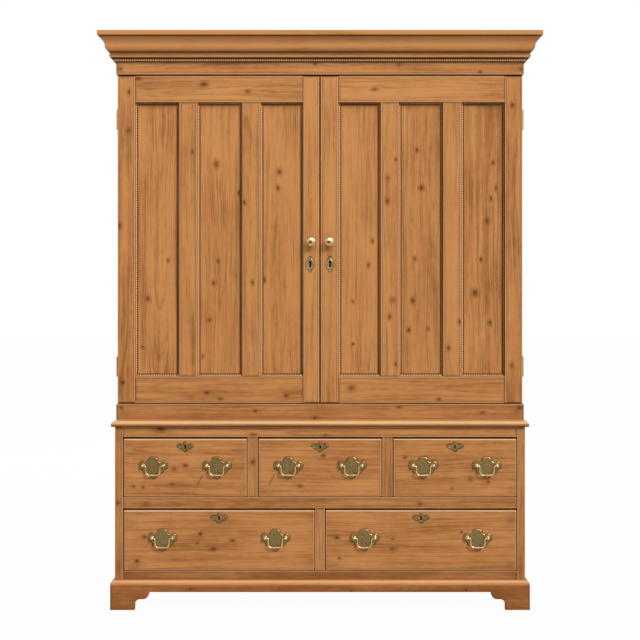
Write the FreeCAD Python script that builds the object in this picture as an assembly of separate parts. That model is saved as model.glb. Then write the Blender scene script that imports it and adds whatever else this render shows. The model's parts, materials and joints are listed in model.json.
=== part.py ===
"""Two-part pine linen press: a two-door cupboard on a chest of five drawers, with brass handles.

Millimetres. X to the right, Y to the back, Z up. The origin is on the floor, at the centre of the whole
press's box. Each function named after a sub-part returns its separate solids.
"""
import FreeCAD
import Part

import math
import os

V = FreeCAD.Vector

# Chest of drawers
CHEST_WIDTH = 1518.0
CHEST_DEPTH = 560.0
CHEST_SIDE = 22.0
CHEST_TOP = 22.0
TOP_OVERHANG = 13.0
TOP_EDGE_UPPER = 14.0
TOP_EDGE_LOWER = 5.0
CORNER_STILE = 29.0
FRAME_DEPTH = 40.0
TOP_RAIL = 38.0
MIDDLE_RAIL = 41.0
BOTTOM_RAIL = 31.0
UPPER_DIVIDER = 37.5
LOWER_DIVIDER = 35.0
UPPER_OPENING = 223.0
LOWER_OPENING = 231.0
UPPER_DRAWERS = 3
LOWER_DRAWERS = 2
RUNNER_REACH = 22.0
GUIDE_HEIGHT = 60.0
STOP_HEIGHT = 6.0
STOP_WIDTH = 40.0
BACK_BOARD = 12.0
CHEST_BACK_BOARDS = 4

# Plinth
PLINTH_HEIGHT = 111.0
PLINTH_OUT = 15.5
PLINTH_BOARD = 28.0
PLINTH_RAIL_BOTTOM = 66.3
PLINTH_MOULDING = 18.5
FOOT_WIDTH = 90.0
BRACKET_REACH = 142.0
BRACKET_STRAIGHT = 6.3
BRACKET_ROUND = 20.0
BRACKET_HOLLOW = 21.0
FOOT_BLOCK = 50.0
PLINTH_BACK_RAIL = 22.0

# Drawers
DRAWER_BACK_GAP = 68.0
DRAWER_FRONT = 22.0
DRAWER_SIDE = 12.0
DRAWER_BACK = 12.0
DRAWER_BOTTOM = 8.0
BOTTOM_RAISE = 8.0
BOTTOM_GROOVE = 5.0
SIDE_BELOW_FRONT = 4.0
BACK_BELOW_SIDE = 8.0
DRAWER_GAP_SIDE = 2.5
DRAWER_GAP_TOP = 5.0
DRAWER_GAP_BOTTOM = 1.5
RUNNING_GAP = 0.3
TAILS = 3
TAIL_LENGTH = 14.0
TAIL_FLARE = 4.0
TAIL_SHARE = 0.64
FRONT_ARRIS = 1.5

# Waist and cupboard
CUPBOARD_INSET = 5.5
FRAME_SETBACK = 28.0
WAIST_HEIGHT = 60.0
FRAME_BOARD = 30.0
FRAME_PROUD = 4.5
CUPBOARD_HEIGHT = 1226.0
CUPBOARD_SIDE = 22.0
CUPBOARD_BOARD = 22.0
CUPBOARD_BACK_BOARDS = 8
SHELVES = 3
SHELF = 22.0
SHELF_SETBACK = 22.0
BEARER_WIDTH = 20.0
BEARER_HEIGHT = 32.0

# Doors
DOOR_THICKNESS = 25.0
DOOR_SETBACK = 32.0
DOOR_STANDOFF = 1.0
DOOR_GAP_BOTTOM = 3.5
DOOR_GAP_TOP = 5.0
DOOR_GAP_MIDDLE = 5.5
HINGE_STILE = 64.5
MEETING_STILE = {"left": 59.0, "right": 65.5}
DOOR_TOP_RAIL = 97.5
DOOR_BOTTOM_RAIL = 98.0
MUNTIN = 67.0
PANEL_SHARES = (0.335, 0.3405, 0.3245)
PANEL = 8.0
PANEL_RECESS = 11.0
PANEL_GROOVE = 8.0
TENON = 8.0
TENON_LENGTH = 40.0
TENON_SHOULDER = 12.0
STRIP_WIDTH = 11.0
STRIP_HEIGHT = 6.5

# Hinges
HINGE_LENGTH = 76.0
HINGE_FROM_END = 96.0
HINGE_TOP_FROM_END = 122.0
HINGE_KNUCKLES = 5
KNUCKLE_RADIUS = 4.2
PIN_RADIUS = 1.8
PIN_CLEARANCE = 0.3
PIN_TIP = 3.0
LEAF_WIDTH = 20.0
LEAF = 1.9

# Door brasses
KNOB_HEIGHT_ABOVE_FLOOR = 1360.5
KNOB_RADIUS = 17.5
KNOB_PROJECTION = 32.0
KNOB_NECK = 6.0
KNOB_ROSE = 11.0
KNOB_STEM = 3.0
KNOB_SHOULDER = 2.5
KNOB_CAP_RISE = 5.5
ESCUTCHEON = 1.4
DRAWER_ESCUTCHEON_WIDTH = 60.0
DRAWER_ESCUTCHEON_HEIGHT = 35.0
DOOR_ESCUTCHEON_HEIGHT = 56.0
DOOR_ESCUTCHEON_WIDTH = 28.0
DOOR_KEY_HEIGHT = 1277.5
DOOR_KEY_BACKSET = 34.0
DOOR_KEYHOLE = 22.0
DRAWER_KEYHOLE = 14.0
KEYHOLE_POCKET = 4.0

# Locks and bolts
DOOR_LOCK_WIDTH = 50.0
DOOR_LOCK_HEIGHT = 70.0
DOOR_LOCK_DEPTH = 13.0
DOOR_BOLT_HEIGHT = 18.0
DOOR_BOLT_DEPTH = 6.0
DOOR_BOLT_LENGTH = 34.0
DOOR_BOLT_TRAVEL = 12.0
KEEPER_WIDTH = 19.0
KEEPER_HEIGHT = 34.0
BOLT_CLEARANCE = 0.4
FLUSH_SETBACK = 1.0
DRAWER_LOCK_WIDTH = 50.0
DRAWER_LOCK_HEIGHT = 50.0
DRAWER_LOCK_DEPTH = 12.0
DRAWER_BOLT_WIDTH = 14.0
DRAWER_BOLT_DEPTH = 5.0
DRAWER_BOLT_LENGTH = 24.0
DRAWER_BOLT_TRAVEL = 12.0
DRAWER_KEY_DROP = 31.0
UPRIGHT_BOLT_RADIUS = 3.0
UPRIGHT_BOLT_LENGTH = 90.0
UPRIGHT_BOLT_TRAVEL = 12.0
BOLT_PLATE = 2.5
BOLT_PLATE_WIDTH = 24.0
BOLT_PLATE_HEIGHT = 72.0
SADDLE_WIDTH = 16.0
SADDLE_DEPTH = 11.0
SADDLE_HEIGHT = 10.0
BOLT_KNOB_RADIUS = 4.0
BOLT_KNOB_LENGTH = 9.0

# Drawer handles
POST_SPACING = 76.0
POST_BALL = 6.0
POST_PROJECTION = 13.0
POST_NECK = 3.2
POST_COLLAR = 7.0
COLLAR = 1.2
POST_STEM = 2.5
NUT_RADIUS = 6.0
NUT = 4.0
PLATE = 1.5
PLATE_HALF_WIDTH = 52.0
PLATE_TOP = 31.0
PLATE_DROP = 48.5
BAIL_RADIUS = 2.8
BAIL_HALF_WIDTH = 26.0
BAIL_DROP = 34.0
BAIL_SHOULDER = 6.0
BAIL_CORNER = 13.5
BAIL_PIN_INSET = 3.0
UPPER_PULL_OFFSET = 117.5
LOWER_PULL_OFFSET = 209.0
UPPER_PULL_DROP = 101.0
LOWER_PULL_DROP = 104.0

# Frieze and cornice
FRIEZE_VISIBLE = 45.0
CROWN_HEIGHT = 82.0
CROWN_REACH = 62.5
FASCIA_HEIGHT = 17.5
FASCIA_EDGE = 2.0
BED_HEIGHT = 27.0
BED_REACH = 23.7
HALF_ROUND = 5.9
DUST_BOARD = 12.0
DUST_BOARDS = 4

# Derived levels and planes
TOTAL_DEPTH = CHEST_DEPTH + CROWN_REACH - FRAME_SETBACK
FACE_Y = CROWN_REACH - FRAME_SETBACK - TOTAL_DEPTH / 2
BACK_Y = FACE_Y + CHEST_DEPTH
CHEST_HALF = CHEST_WIDTH / 2
PLINTH_BOARD_TOP = PLINTH_HEIGHT - PLINTH_MOULDING
LOWER_Z0 = PLINTH_HEIGHT + BOTTOM_RAIL
LOWER_Z1 = LOWER_Z0 + LOWER_OPENING
UPPER_Z0 = LOWER_Z1 + MIDDLE_RAIL
UPPER_Z1 = UPPER_Z0 + UPPER_OPENING
CARCASE_TOP = UPPER_Z1 + TOP_RAIL
CHEST_HEIGHT = CARCASE_TOP + CHEST_TOP
OPENING_HALF = CHEST_HALF - CORNER_STILE
FRAME_BACK_Y = FACE_Y + FRAME_DEPTH
CHEST_BACK_FRONT_Y = BACK_Y - BACK_BOARD
DRAWER_LENGTH = CHEST_DEPTH - BACK_BOARD - DRAWER_BACK_GAP

CUPBOARD_HALF = CHEST_HALF - CUPBOARD_INSET
FRAME_HALF = CUPBOARD_HALF + FRAME_PROUD
FRAME_FACE_Y = FACE_Y + FRAME_SETBACK
DOOR_FACE_Y = FACE_Y + DOOR_SETBACK
DOOR_BACK_Y = DOOR_FACE_Y + DOOR_THICKNESS
CASE_FRONT_Y = DOOR_BACK_Y + DOOR_STANDOFF
HINGE_Y = DOOR_BACK_Y + DOOR_STANDOFF / 2
CUPBOARD_Z0 = CHEST_HEIGHT + WAIST_HEIGHT
CUPBOARD_Z1 = CUPBOARD_Z0 + CUPBOARD_HEIGHT
DOOR_Z0 = CUPBOARD_Z0 + DOOR_GAP_BOTTOM
DOOR_Z1 = CUPBOARD_Z1 - DOOR_GAP_TOP
CORNICE_Z0 = CUPBOARD_Z1 + FRIEZE_VISIBLE
TOTAL_HEIGHT = CORNICE_Z0 + BED_HEIGHT + CROWN_HEIGHT
HINGE_X = CUPBOARD_HALF + KNUCKLE_RADIUS + PIN_CLEARANCE
INSIDE_HALF = CUPBOARD_HALF - CUPBOARD_SIDE
CUPBOARD_BACK_FRONT_Y = BACK_Y - BACK_BOARD
SIDE_SIGN = {"left": -1, "right": 1}


def block(x0, x1, y0, y1, z0, z1):
    """A box between two opposite corners, given in either order."""
    low = V(min(x0, x1), min(y0, y1), min(z0, z1))
    return Part.makeBox(abs(x1 - x0), abs(y1 - y0), abs(z1 - z0), low)


def step_end(step):
    """Where a step of an outline ends. A step is a point to run straight to, or an arc's middle and end."""
    return step[1] if isinstance(step[0], tuple) else step


def route(steps, place):
    """The edges from one step of an outline to the next."""
    edges = []
    here = place(*steps[0])
    for step in steps[1:]:
        end = place(*step_end(step))
        if isinstance(step[0], tuple):
            edges.append(Part.Arc(here, place(*step[0]), end).toShape())
        else:
            edges.append(Part.LineSegment(here, end).toShape())
        here = end
    return edges


def ring(steps, place):
    """A closed wire round an outline, with a straight edge back to its start where it is open."""
    closing = [] if step_end(steps[-1]) == steps[0] else [steps[0]]
    return Part.Wire(route(steps + closing, place))


def prism(steps, place, along):
    """The solid that a closed outline sweeps when it moves along a straight vector."""
    return Part.Face(ring(steps, place)).extrude(along)


def turned(profile, x, y, z):
    """A turned solid about the line through (x, z) along Y. The profile is (radius, distance forward)."""
    face = Part.Face(ring(profile, lambda radius, forward: V(x + radius, y - forward, z)))
    return face.revolve(V(x, y, z), V(0, -1, 0), 360)


def rod(radius, start, end):
    """A round bar from one point to another."""
    along = end.sub(start)
    return Part.makeCylinder(radius, along.Length, start, along)


def both_sides(right_half):
    """A path and its mirror image, from the right half, which runs to the middle or to the last arc's end."""
    ends = [step_end(step) for step in right_half]
    path = list(right_half)
    last_x, last_z = ends[-1]
    if last_x > 0:
        path.append((-last_x, last_z))
    for index in range(len(right_half) - 1, 0, -1):
        x, z = ends[index - 1]
        step = right_half[index]
        if isinstance(step[0], tuple):
            path.append(((-step[0][0], step[0][1]), (-x, z)))
        else:
            path.append((-x, z))
    return path


def mitred_runs(profile, reach, height, half_width, face_y, base_z):
    """A moulding on the front and both sides, mitred at the corners. The profile is (outward, upward)."""
    front_face = Part.Face(ring(profile, lambda out, up: V(-half_width - reach, face_y - out, base_z + up)))
    front = front_face.extrude(V(2 * (half_width + reach), 0, 0))
    side_face = Part.Face(ring(profile, lambda out, up: V(half_width + out, face_y - reach, base_z + up)))
    right = side_face.extrude(V(0, BACK_Y - face_y + reach, 0))
    wedge_outline = [
        (-half_width, face_y),
        (half_width, face_y),
        (half_width + reach, face_y - reach),
        (-half_width - reach, face_y - reach),
    ]
    wedge = prism(wedge_outline, lambda x, y: V(x, y, base_z), V(0, 0, height))
    front = front.common(wedge)
    right = right.cut(wedge)
    left = right.mirror(V(0, 0, 0), V(1, 0, 0))
    return [front, left, right]


def board_frame(half_width, face_y, board, z0, z1):
    """Four boards on edge: front and back right across, and the two sides between them."""
    return [
        block(-half_width, half_width, face_y, face_y + board, z0, z1),
        block(-half_width, half_width, BACK_Y - board, BACK_Y, z0, z1),
        block(-half_width, -half_width + board, face_y + board, BACK_Y - board, z0, z1),
        block(half_width - board, half_width, face_y + board, BACK_Y - board, z0, z1),
    ]


# Drawer openings

def openings():
    """The drawer openings as (x0, x1, z0, z1), the upper row first, from left to right."""
    found = []
    rows = (
        (UPPER_DRAWERS, UPPER_DIVIDER, UPPER_Z0, UPPER_Z1),
        (LOWER_DRAWERS, LOWER_DIVIDER, LOWER_Z0, LOWER_Z1),
    )
    for count, divider, z0, z1 in rows:
        width = (2 * OPENING_HALF - (count - 1) * divider) / count
        for index in range(count):
            x0 = -OPENING_HALF + index * (width + divider)
            found.append((x0, x0 + width, z0, z1))
    return found


def pull_places(opening):
    """The centres of a drawer's two handles, at the height of their posts."""
    x0, x1, z0, z1 = opening
    upper = z0 == UPPER_Z0
    offset = UPPER_PULL_OFFSET if upper else LOWER_PULL_OFFSET
    drop = UPPER_PULL_DROP if upper else LOWER_PULL_DROP
    centre = (x0 + x1) / 2
    height = z1 - DRAWER_GAP_TOP - drop
    return [(centre - offset, height), (centre + offset, height)]


def key_place(opening):
    """The centre of a drawer's keyhole."""
    return (opening[0] + opening[1]) / 2, opening[3] - DRAWER_GAP_TOP - DRAWER_KEY_DROP


# Cornice and frieze

def crown_profile():
    """Outward and upward: a step, an ovolo, a hollow, then the fascia with eased edges."""
    reach = CROWN_REACH
    high = CROWN_HEIGHT
    eased = FASCIA_EDGE
    bend = eased * (1 - math.sqrt(0.5))
    fascia = high - FASCIA_HEIGHT
    return [
        (0.0, 0.0),
        (reach * 0.31, 0.0),
        (reach * 0.31, high * 0.073),
        ((reach * 0.52, high * 0.183), (reach * 0.60, high * 0.378)),
        ((reach * 0.71, high * 0.61), (reach * 0.928, high * 0.756)),
        (reach * 0.928, fascia),
        (reach - eased, fascia),
        ((reach - bend, fascia + bend), (reach, fascia + eased)),
        (reach, high - eased),
        ((reach - bend, high - bend), (reach - eased, high)),
        (0.0, high),
    ]


def bed_profile():
    """Outward and upward: a slope that carries a bead, under a half round."""
    slope = BED_REACH - HALF_ROUND
    middle = BED_HEIGHT - HALF_ROUND
    rise = (middle - HALF_ROUND) / slope
    return [
        (0.0, 0.0),
        (slope * 0.29, slope * 0.29 * rise),
        ((slope * 0.62, slope * 0.24), (slope * 0.66, slope * 0.66 * rise)),
        (slope, middle - HALF_ROUND),
        ((BED_REACH, middle), (slope, BED_HEIGHT)),
        (0.0, BED_HEIGHT),
    ]


def cornice_crown():
    """The crown moulding."""
    return mitred_runs(
        crown_profile(), CROWN_REACH, CROWN_HEIGHT, FRAME_HALF, FRAME_FACE_Y, CORNICE_Z0 + BED_HEIGHT
    )


def cornice_bed():
    """The half round and its bead strip under the crown."""
    return mitred_runs(bed_profile(), BED_REACH, BED_HEIGHT, FRAME_HALF, FRAME_FACE_Y, CORNICE_Z0)


def cornice_dust_boards():
    """Boards that close the top of the cornice, side by side from front to back."""
    width = (BACK_Y - FRAME_FACE_Y) / DUST_BOARDS
    boards = []
    for index in range(DUST_BOARDS):
        y0 = FRAME_FACE_Y + index * width
        boards.append(
            block(-FRAME_HALF, FRAME_HALF, y0, y0 + width, TOTAL_HEIGHT - DUST_BOARD, TOTAL_HEIGHT)
        )
    return boards


def frieze():
    """The frame behind the cornice, whose lower part shows as the frieze."""
    return board_frame(FRAME_HALF, FRAME_FACE_Y, FRAME_BOARD, CUPBOARD_Z1, TOTAL_HEIGHT - DUST_BOARD)


# Cupboard

def hinge_levels():
    """The middle heights of a door's two hinges."""
    return [
        DOOR_Z0 + HINGE_FROM_END + HINGE_LENGTH / 2,
        DOOR_Z1 - HINGE_TOP_FROM_END - HINGE_LENGTH / 2,
    ]


def leaf(side, level, on_door):
    """The flat of one hinge leaf, from the board's edge inward."""
    sign = SIDE_SIGN[side]
    y1 = HINGE_Y - LEAF if on_door else HINGE_Y + LEAF
    x0 = sign * CUPBOARD_HALF
    x1 = sign * (CUPBOARD_HALF - LEAF_WIDTH)
    return block(x0, x1, HINGE_Y, y1, level - HINGE_LENGTH / 2, level + HINGE_LENGTH / 2)


def hinge_half(side, level, on_door):
    """One leaf with its knuckles. The case's leaf has the odd knuckles and holds the pin."""
    sign = SIDE_SIGN[side]
    pitch = HINGE_LENGTH / HINGE_KNUCKLES
    bottom = level - HINGE_LENGTH / 2
    y1 = HINGE_Y - LEAF if on_door else HINGE_Y + LEAF
    pieces = [leaf(side, level, on_door)]
    for index in range(1 if on_door else 0, HINGE_KNUCKLES, 2):
        z0 = bottom + index * pitch + PIN_CLEARANCE / 2
        z1 = bottom + (index + 1) * pitch - PIN_CLEARANCE / 2
        pieces.append(rod(KNUCKLE_RADIUS, V(sign * HINGE_X, HINGE_Y, z0), V(sign * HINGE_X, HINGE_Y, z1)))
        web_x = sign * (HINGE_X - KNUCKLE_RADIUS * 0.7)
        pieces.append(block(web_x, sign * CUPBOARD_HALF, HINGE_Y, y1, z0, z1))
    whole = pieces[0].multiFuse(pieces[1:])
    tip = 0.0 if on_door else PIN_TIP
    low = V(sign * HINGE_X, HINGE_Y, bottom - tip)
    high = V(sign * HINGE_X, HINGE_Y, bottom + HINGE_LENGTH + tip)
    if on_door:
        return whole.cut(rod(PIN_RADIUS + PIN_CLEARANCE, low, high))
    return whole.fuse(rod(PIN_RADIUS, low, high)).removeSplitter()


def cupboard_hinges():
    """The case's halves of the four butt hinges, with their pins."""
    return [hinge_half(side, level, False) for side in SIDE_SIGN for level in hinge_levels()]


def cupboard_sides():
    """The cupboard's two sides, with the hinge leaves let into their front edges."""
    sides = []
    for side, sign in SIDE_SIGN.items():
        board = block(
            sign * INSIDE_HALF, sign * CUPBOARD_HALF, CASE_FRONT_Y, BACK_Y, CUPBOARD_Z0, CUPBOARD_Z1
        )
        for level in hinge_levels():
            board = board.cut(leaf(side, level, False))
        sides.append(board)
    return sides


def meeting_edge(side):
    """The x of a door's meeting edge."""
    return SIDE_SIGN[side] * DOOR_GAP_MIDDLE / 2


def meeting_stile_middle(side):
    """The x of the middle of a door's meeting stile."""
    return SIDE_SIGN[side] * (DOOR_GAP_MIDDLE + MEETING_STILE[side]) / 2


def upright_bolt_axis():
    """The x and y of the left door's two upright bolts."""
    return meeting_stile_middle("left"), DOOR_BACK_Y + BOLT_PLATE + SADDLE_DEPTH / 2


def cupboard_top_floor():
    """The cupboard's top and floor boards, each bored for one of the left door's bolts."""
    x, y = upright_bolt_axis()
    hole = UPRIGHT_BOLT_RADIUS + BOLT_CLEARANCE
    depth = UPRIGHT_BOLT_TRAVEL + FLUSH_SETBACK
    floor_top = CUPBOARD_Z0 + CUPBOARD_BOARD
    top_under = CUPBOARD_Z1 - CUPBOARD_BOARD
    floor = block(-INSIDE_HALF, INSIDE_HALF, CASE_FRONT_Y, CUPBOARD_BACK_FRONT_Y, CUPBOARD_Z0, floor_top)
    top = block(-INSIDE_HALF, INSIDE_HALF, CASE_FRONT_Y, CUPBOARD_BACK_FRONT_Y, top_under, CUPBOARD_Z1)
    floor = floor.cut(rod(hole, V(x, y, floor_top), V(x, y, floor_top - depth)))
    top = top.cut(rod(hole, V(x, y, top_under), V(x, y, top_under + depth)))
    return [floor, top]


def shelf_levels():
    """The undersides of the shelves, evenly spaced between the floor and the top."""
    low = CUPBOARD_Z0 + CUPBOARD_BOARD
    high = CUPBOARD_Z1 - CUPBOARD_BOARD
    step = (high - low - SHELVES * SHELF) / (SHELVES + 1)
    return [low + step * (index + 1) + SHELF * index for index in range(SHELVES)]


def cupboard_shelves():
    """Shelves on a pair of bearers each."""
    front = CASE_FRONT_Y + SHELF_SETBACK
    pieces = []
    for level in shelf_levels():
        pieces.append(
            block(-INSIDE_HALF, INSIDE_HALF, front, CUPBOARD_BACK_FRONT_Y, level, level + SHELF)
        )
        for sign in SIDE_SIGN.values():
            inner = sign * (INSIDE_HALF - BEARER_WIDTH)
            pieces.append(
                block(
                    inner, sign * INSIDE_HALF, front, CUPBOARD_BACK_FRONT_Y, level - BEARER_HEIGHT, level
                )
            )
    return pieces


def cupboard_back():
    """Upright back boards, side by side."""
    width = 2 * INSIDE_HALF / CUPBOARD_BACK_BOARDS
    boards = []
    for index in range(CUPBOARD_BACK_BOARDS):
        x0 = -INSIDE_HALF + index * width
        boards.append(block(x0, x0 + width, CUPBOARD_BACK_FRONT_Y, BACK_Y, CUPBOARD_Z0, CUPBOARD_Z1))
    return boards


def waist_frame():
    """The frame that the cupboard stands on."""
    return board_frame(FRAME_HALF, FRAME_FACE_Y, FRAME_BOARD, CHEST_HEIGHT, CUPBOARD_Z0)


# Doors

def door_layout(side):
    """A door's members across its width: a list of (kind, x0, x1), from the hinge side inward."""
    sign = SIDE_SIGN[side]
    width = CUPBOARD_HALF - DOOR_GAP_MIDDLE / 2
    clear = width - HINGE_STILE - MEETING_STILE[side] - 2 * MUNTIN
    widths = [("stile", HINGE_STILE)]
    for index, share in enumerate(PANEL_SHARES):
        widths.append(("panel", clear * share))
        if index < len(PANEL_SHARES) - 1:
            widths.append(("muntin", MUNTIN))
    widths.append(("stile", MEETING_STILE[side]))
    x = CUPBOARD_HALF
    members = []
    for kind, size in widths:
        members.append((kind, sign * x, sign * (x - size)))
        x -= size
    return members


def door_panels(side):
    """The three flat panels, with their edges in the grooves."""
    y0 = DOOR_FACE_Y + PANEL_RECESS
    z0 = DOOR_Z0 + DOOR_BOTTOM_RAIL - PANEL_GROOVE
    z1 = DOOR_Z1 - DOOR_TOP_RAIL + PANEL_GROOVE
    panels = []
    for kind, outer, inner in door_layout(side):
        if kind == "panel":
            low = min(outer, inner) - PANEL_GROOVE
            high = max(outer, inner) + PANEL_GROOVE
            panels.append(block(low, high, y0, y0 + PANEL, z0, z1))
    return panels


def tenon(x0, x1, z0, z1):
    """A tenon in the middle of a door's thickness."""
    y0 = DOOR_FACE_Y + (DOOR_THICKNESS - TENON) / 2
    return block(x0, x1, y0, y0 + TENON, z0, z1)


def cut_all(solid, others):
    """A solid less each of the others."""
    for other in others:
        solid = solid.cut(other)
    return solid


def door_muntins(side):
    """The two upright bars between the panels, tenoned into the rails."""
    z0 = DOOR_Z0 + DOOR_BOTTOM_RAIL
    z1 = DOOR_Z1 - DOOR_TOP_RAIL
    bars = []
    for kind, outer, inner in door_layout(side):
        if kind == "muntin":
            low, high = sorted((outer, inner))
            bar = block(low, high, DOOR_FACE_Y, DOOR_BACK_Y, z0, z1)
            tongue = tenon(
                low + TENON_SHOULDER, high - TENON_SHOULDER, z0 - TENON_LENGTH, z1 + TENON_LENGTH
            )
            bars.append(bar.fuse(tongue).removeSplitter())
    return [cut_all(bar, door_panels(side)) for bar in bars]


def door_rails(side):
    """Top and bottom rails, tenoned into the stiles, and the two muntins between them."""
    members = door_layout(side)
    low, high = sorted((members[0][2], members[-1][1]))
    muntins = door_muntins(side)
    rails = []
    for z0, z1 in ((DOOR_Z0, DOOR_Z0 + DOOR_BOTTOM_RAIL), (DOOR_Z1 - DOOR_TOP_RAIL, DOOR_Z1)):
        rail = block(low, high, DOOR_FACE_Y, DOOR_BACK_Y, z0, z1)
        tongue = tenon(
            low - TENON_LENGTH, high + TENON_LENGTH, z0 + TENON_SHOULDER, z1 - TENON_SHOULDER
        )
        rail = rail.fuse(tongue).removeSplitter()
        rails.append(cut_all(rail, door_panels(side) + muntins))
    return rails + muntins


def key_cut(x, z, height, y0, y1):
    """A keyhole from y0 to y1: a round head over a slot that widens downward."""
    head = height * 0.25
    neck = height * 0.15
    foot = height * 0.20
    top = z + height / 2
    slot = prism(
        [(-neck, top - head), (neck, top - head), (foot, z - height / 2), (-foot, z - height / 2)],
        lambda across, level: V(x + across, y0, level),
        V(0, y1 - y0, 0),
    )
    return slot.fuse(rod(head, V(x, y0, top - head), V(x, y1, top - head)))


def door_key_x(side):
    """The x of a door's keyhole."""
    return meeting_edge(side) + SIDE_SIGN[side] * DOOR_KEY_BACKSET


def door_escutcheon(side):
    """An upright pointed oval plate with a small finial at each end."""
    x = door_key_x(side)
    half = DOOR_ESCUTCHEON_HEIGHT / 2
    wide = DOOR_ESCUTCHEON_WIDTH / 2
    right_half = [
        (0.0, half),
        ((wide * 0.21, half * 0.90), (wide * 0.13, half * 0.80)),
        ((wide * 0.78, half * 0.44), (wide, -half * 0.04)),
        ((wide * 0.83, -half * 0.45), (wide * 0.22, -half * 0.72)),
        ((wide * 0.24, -half * 0.86), (0.0, -half)),
    ]
    plate = prism(
        both_sides(right_half),
        lambda across, up: V(x + across, DOOR_FACE_Y, DOOR_KEY_HEIGHT + up),
        V(0, -ESCUTCHEON, 0),
    )
    return plate.cut(key_cut(x, DOOR_KEY_HEIGHT, DOOR_KEYHOLE, DOOR_FACE_Y - 2 * ESCUTCHEON, DOOR_FACE_Y))


def door_knob(side):
    """A round knob on a small rose, with its stem through the stile."""
    radius = KNOB_RADIUS
    reach = KNOB_PROJECTION
    cap = radius - KNOB_SHOULDER
    cap_ball = (cap * cap + KNOB_CAP_RISE * KNOB_CAP_RISE) / (2 * KNOB_CAP_RISE)
    cap_middle = reach - cap_ball + math.sqrt(cap_ball * cap_ball - cap * cap / 4)
    profile = [
        (0.0, -DOOR_THICKNESS),
        (KNOB_STEM, -DOOR_THICKNESS),
        (KNOB_STEM, 0.0),
        (KNOB_ROSE, 0.0),
        (KNOB_ROSE, reach * 0.05),
        ((KNOB_NECK * 1.25, reach * 0.125), (KNOB_NECK, reach * 0.25)),
        ((KNOB_NECK * 1.42, reach * 0.41), (radius * 0.83, reach * 0.52)),
        ((radius, reach * 0.66), (cap, reach - KNOB_CAP_RISE)),
        ((cap / 2, cap_middle), (0.0, reach)),
    ]
    return turned(profile, meeting_stile_middle(side), DOOR_FACE_Y, KNOB_HEIGHT_ABOVE_FLOOR)


def door_cuts(side):
    """What is cut from a door's stiles for its brasses: knob stem, keyhole and hinge leaves."""
    cuts = [door_knob(side)]
    key_end = DOOR_BACK_Y if side == "right" else DOOR_FACE_Y + DOOR_THICKNESS / 2
    cuts.append(key_cut(door_key_x(side), DOOR_KEY_HEIGHT, DOOR_KEYHOLE, DOOR_FACE_Y, key_end))
    cuts += [leaf(side, level, True) for level in hinge_levels()]
    return cuts


def door_stiles(side):
    """The two stiles, mortised for the rails and grooved for the panels."""
    stiles = []
    mates = door_rails(side) + door_panels(side) + door_cuts(side)
    for kind, outer, inner in door_layout(side):
        if kind == "stile":
            stile = block(outer, inner, DOOR_FACE_Y, DOOR_BACK_Y, DOOR_Z0, DOOR_Z1)
            stiles.append(cut_all(stile, mates))
    return stiles


def strip_profile():
    """Inward from the frame's edge and forward from the panel: a fillet, a bead and a step."""
    wide = STRIP_WIDTH
    high = STRIP_HEIGHT
    return [
        (0.0, 0.0),
        (wide, 0.0),
        (wide, high * 0.29),
        (wide * 0.92, high * 0.49),
        ((wide * 0.58, high), (wide * 0.23, high * 0.54)),
        (wide * 0.23, high * 0.93),
        (0.0, high * 0.93),
    ]


def door_mouldings(side):
    """Four mitred strips in front of each panel."""
    y = DOOR_FACE_Y + PANEL_RECESS
    z0 = DOOR_Z0 + DOOR_BOTTOM_RAIL
    z1 = DOOR_Z1 - DOOR_TOP_RAIL
    wide = STRIP_WIDTH
    strips = []
    for kind, outer, inner in door_layout(side):
        if kind != "panel":
            continue
        x0, x1 = sorted((outer, inner))
        bottom = prism(strip_profile(), lambda into, out: V(x0, y - out, z0 + into), V(x1 - x0, 0, 0))
        left = prism(strip_profile(), lambda into, out: V(x0 + into, y - out, z0), V(0, 0, z1 - z0))
        low_corners = [(x0, z0), (x1, z0), (x1 - wide, z0 + wide), (x0 + wide, z0 + wide)]
        left_corners = [(x0, z0), (x0 + wide, z0 + wide), (x0 + wide, z1 - wide), (x0, z1)]
        bottom = bottom.common(prism(low_corners, lambda a, b: V(a, y, b), V(0, -STRIP_HEIGHT, 0)))
        left = left.common(prism(left_corners, lambda a, b: V(a, y, b), V(0, -STRIP_HEIGHT, 0)))
        middle = V((x0 + x1) / 2, y, (z0 + z1) / 2)
        strips += [bottom, left, bottom.mirror(middle, V(0, 0, 1)), left.mirror(middle, V(1, 0, 0))]
    return strips


def door_lock_bolt():
    """The right door's lock bolt, drawn back."""
    x0 = meeting_edge("right") + FLUSH_SETBACK
    y0 = DOOR_BACK_Y + (DOOR_LOCK_DEPTH - DOOR_BOLT_DEPTH) / 2
    z0 = DOOR_KEY_HEIGHT - DOOR_BOLT_HEIGHT / 2
    return [
        block(x0, x0 + DOOR_BOLT_LENGTH, y0, y0 + DOOR_BOLT_DEPTH, z0, z0 + DOOR_BOLT_HEIGHT)
    ]


def bolt_pocket(x0, x1):
    """The way of the door lock's bolt, with its clearance."""
    y0 = DOOR_BACK_Y + (DOOR_LOCK_DEPTH - DOOR_BOLT_DEPTH) / 2
    z0 = DOOR_KEY_HEIGHT - DOOR_BOLT_HEIGHT / 2
    gap = BOLT_CLEARANCE
    return block(x0, x1, y0 - gap, y0 + DOOR_BOLT_DEPTH + gap, z0 - gap, z0 + DOOR_BOLT_HEIGHT + gap)


def door_lock():
    """The rim lock on the back of the right door."""
    x0 = meeting_edge("right") + FLUSH_SETBACK
    z0 = DOOR_KEY_HEIGHT - DOOR_LOCK_HEIGHT / 2
    case = block(
        x0, x0 + DOOR_LOCK_WIDTH, DOOR_BACK_Y, DOOR_BACK_Y + DOOR_LOCK_DEPTH, z0, z0 + DOOR_LOCK_HEIGHT
    )
    return case.cut(bolt_pocket(x0, x0 + DOOR_BOLT_LENGTH + BOLT_CLEARANCE))


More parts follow.
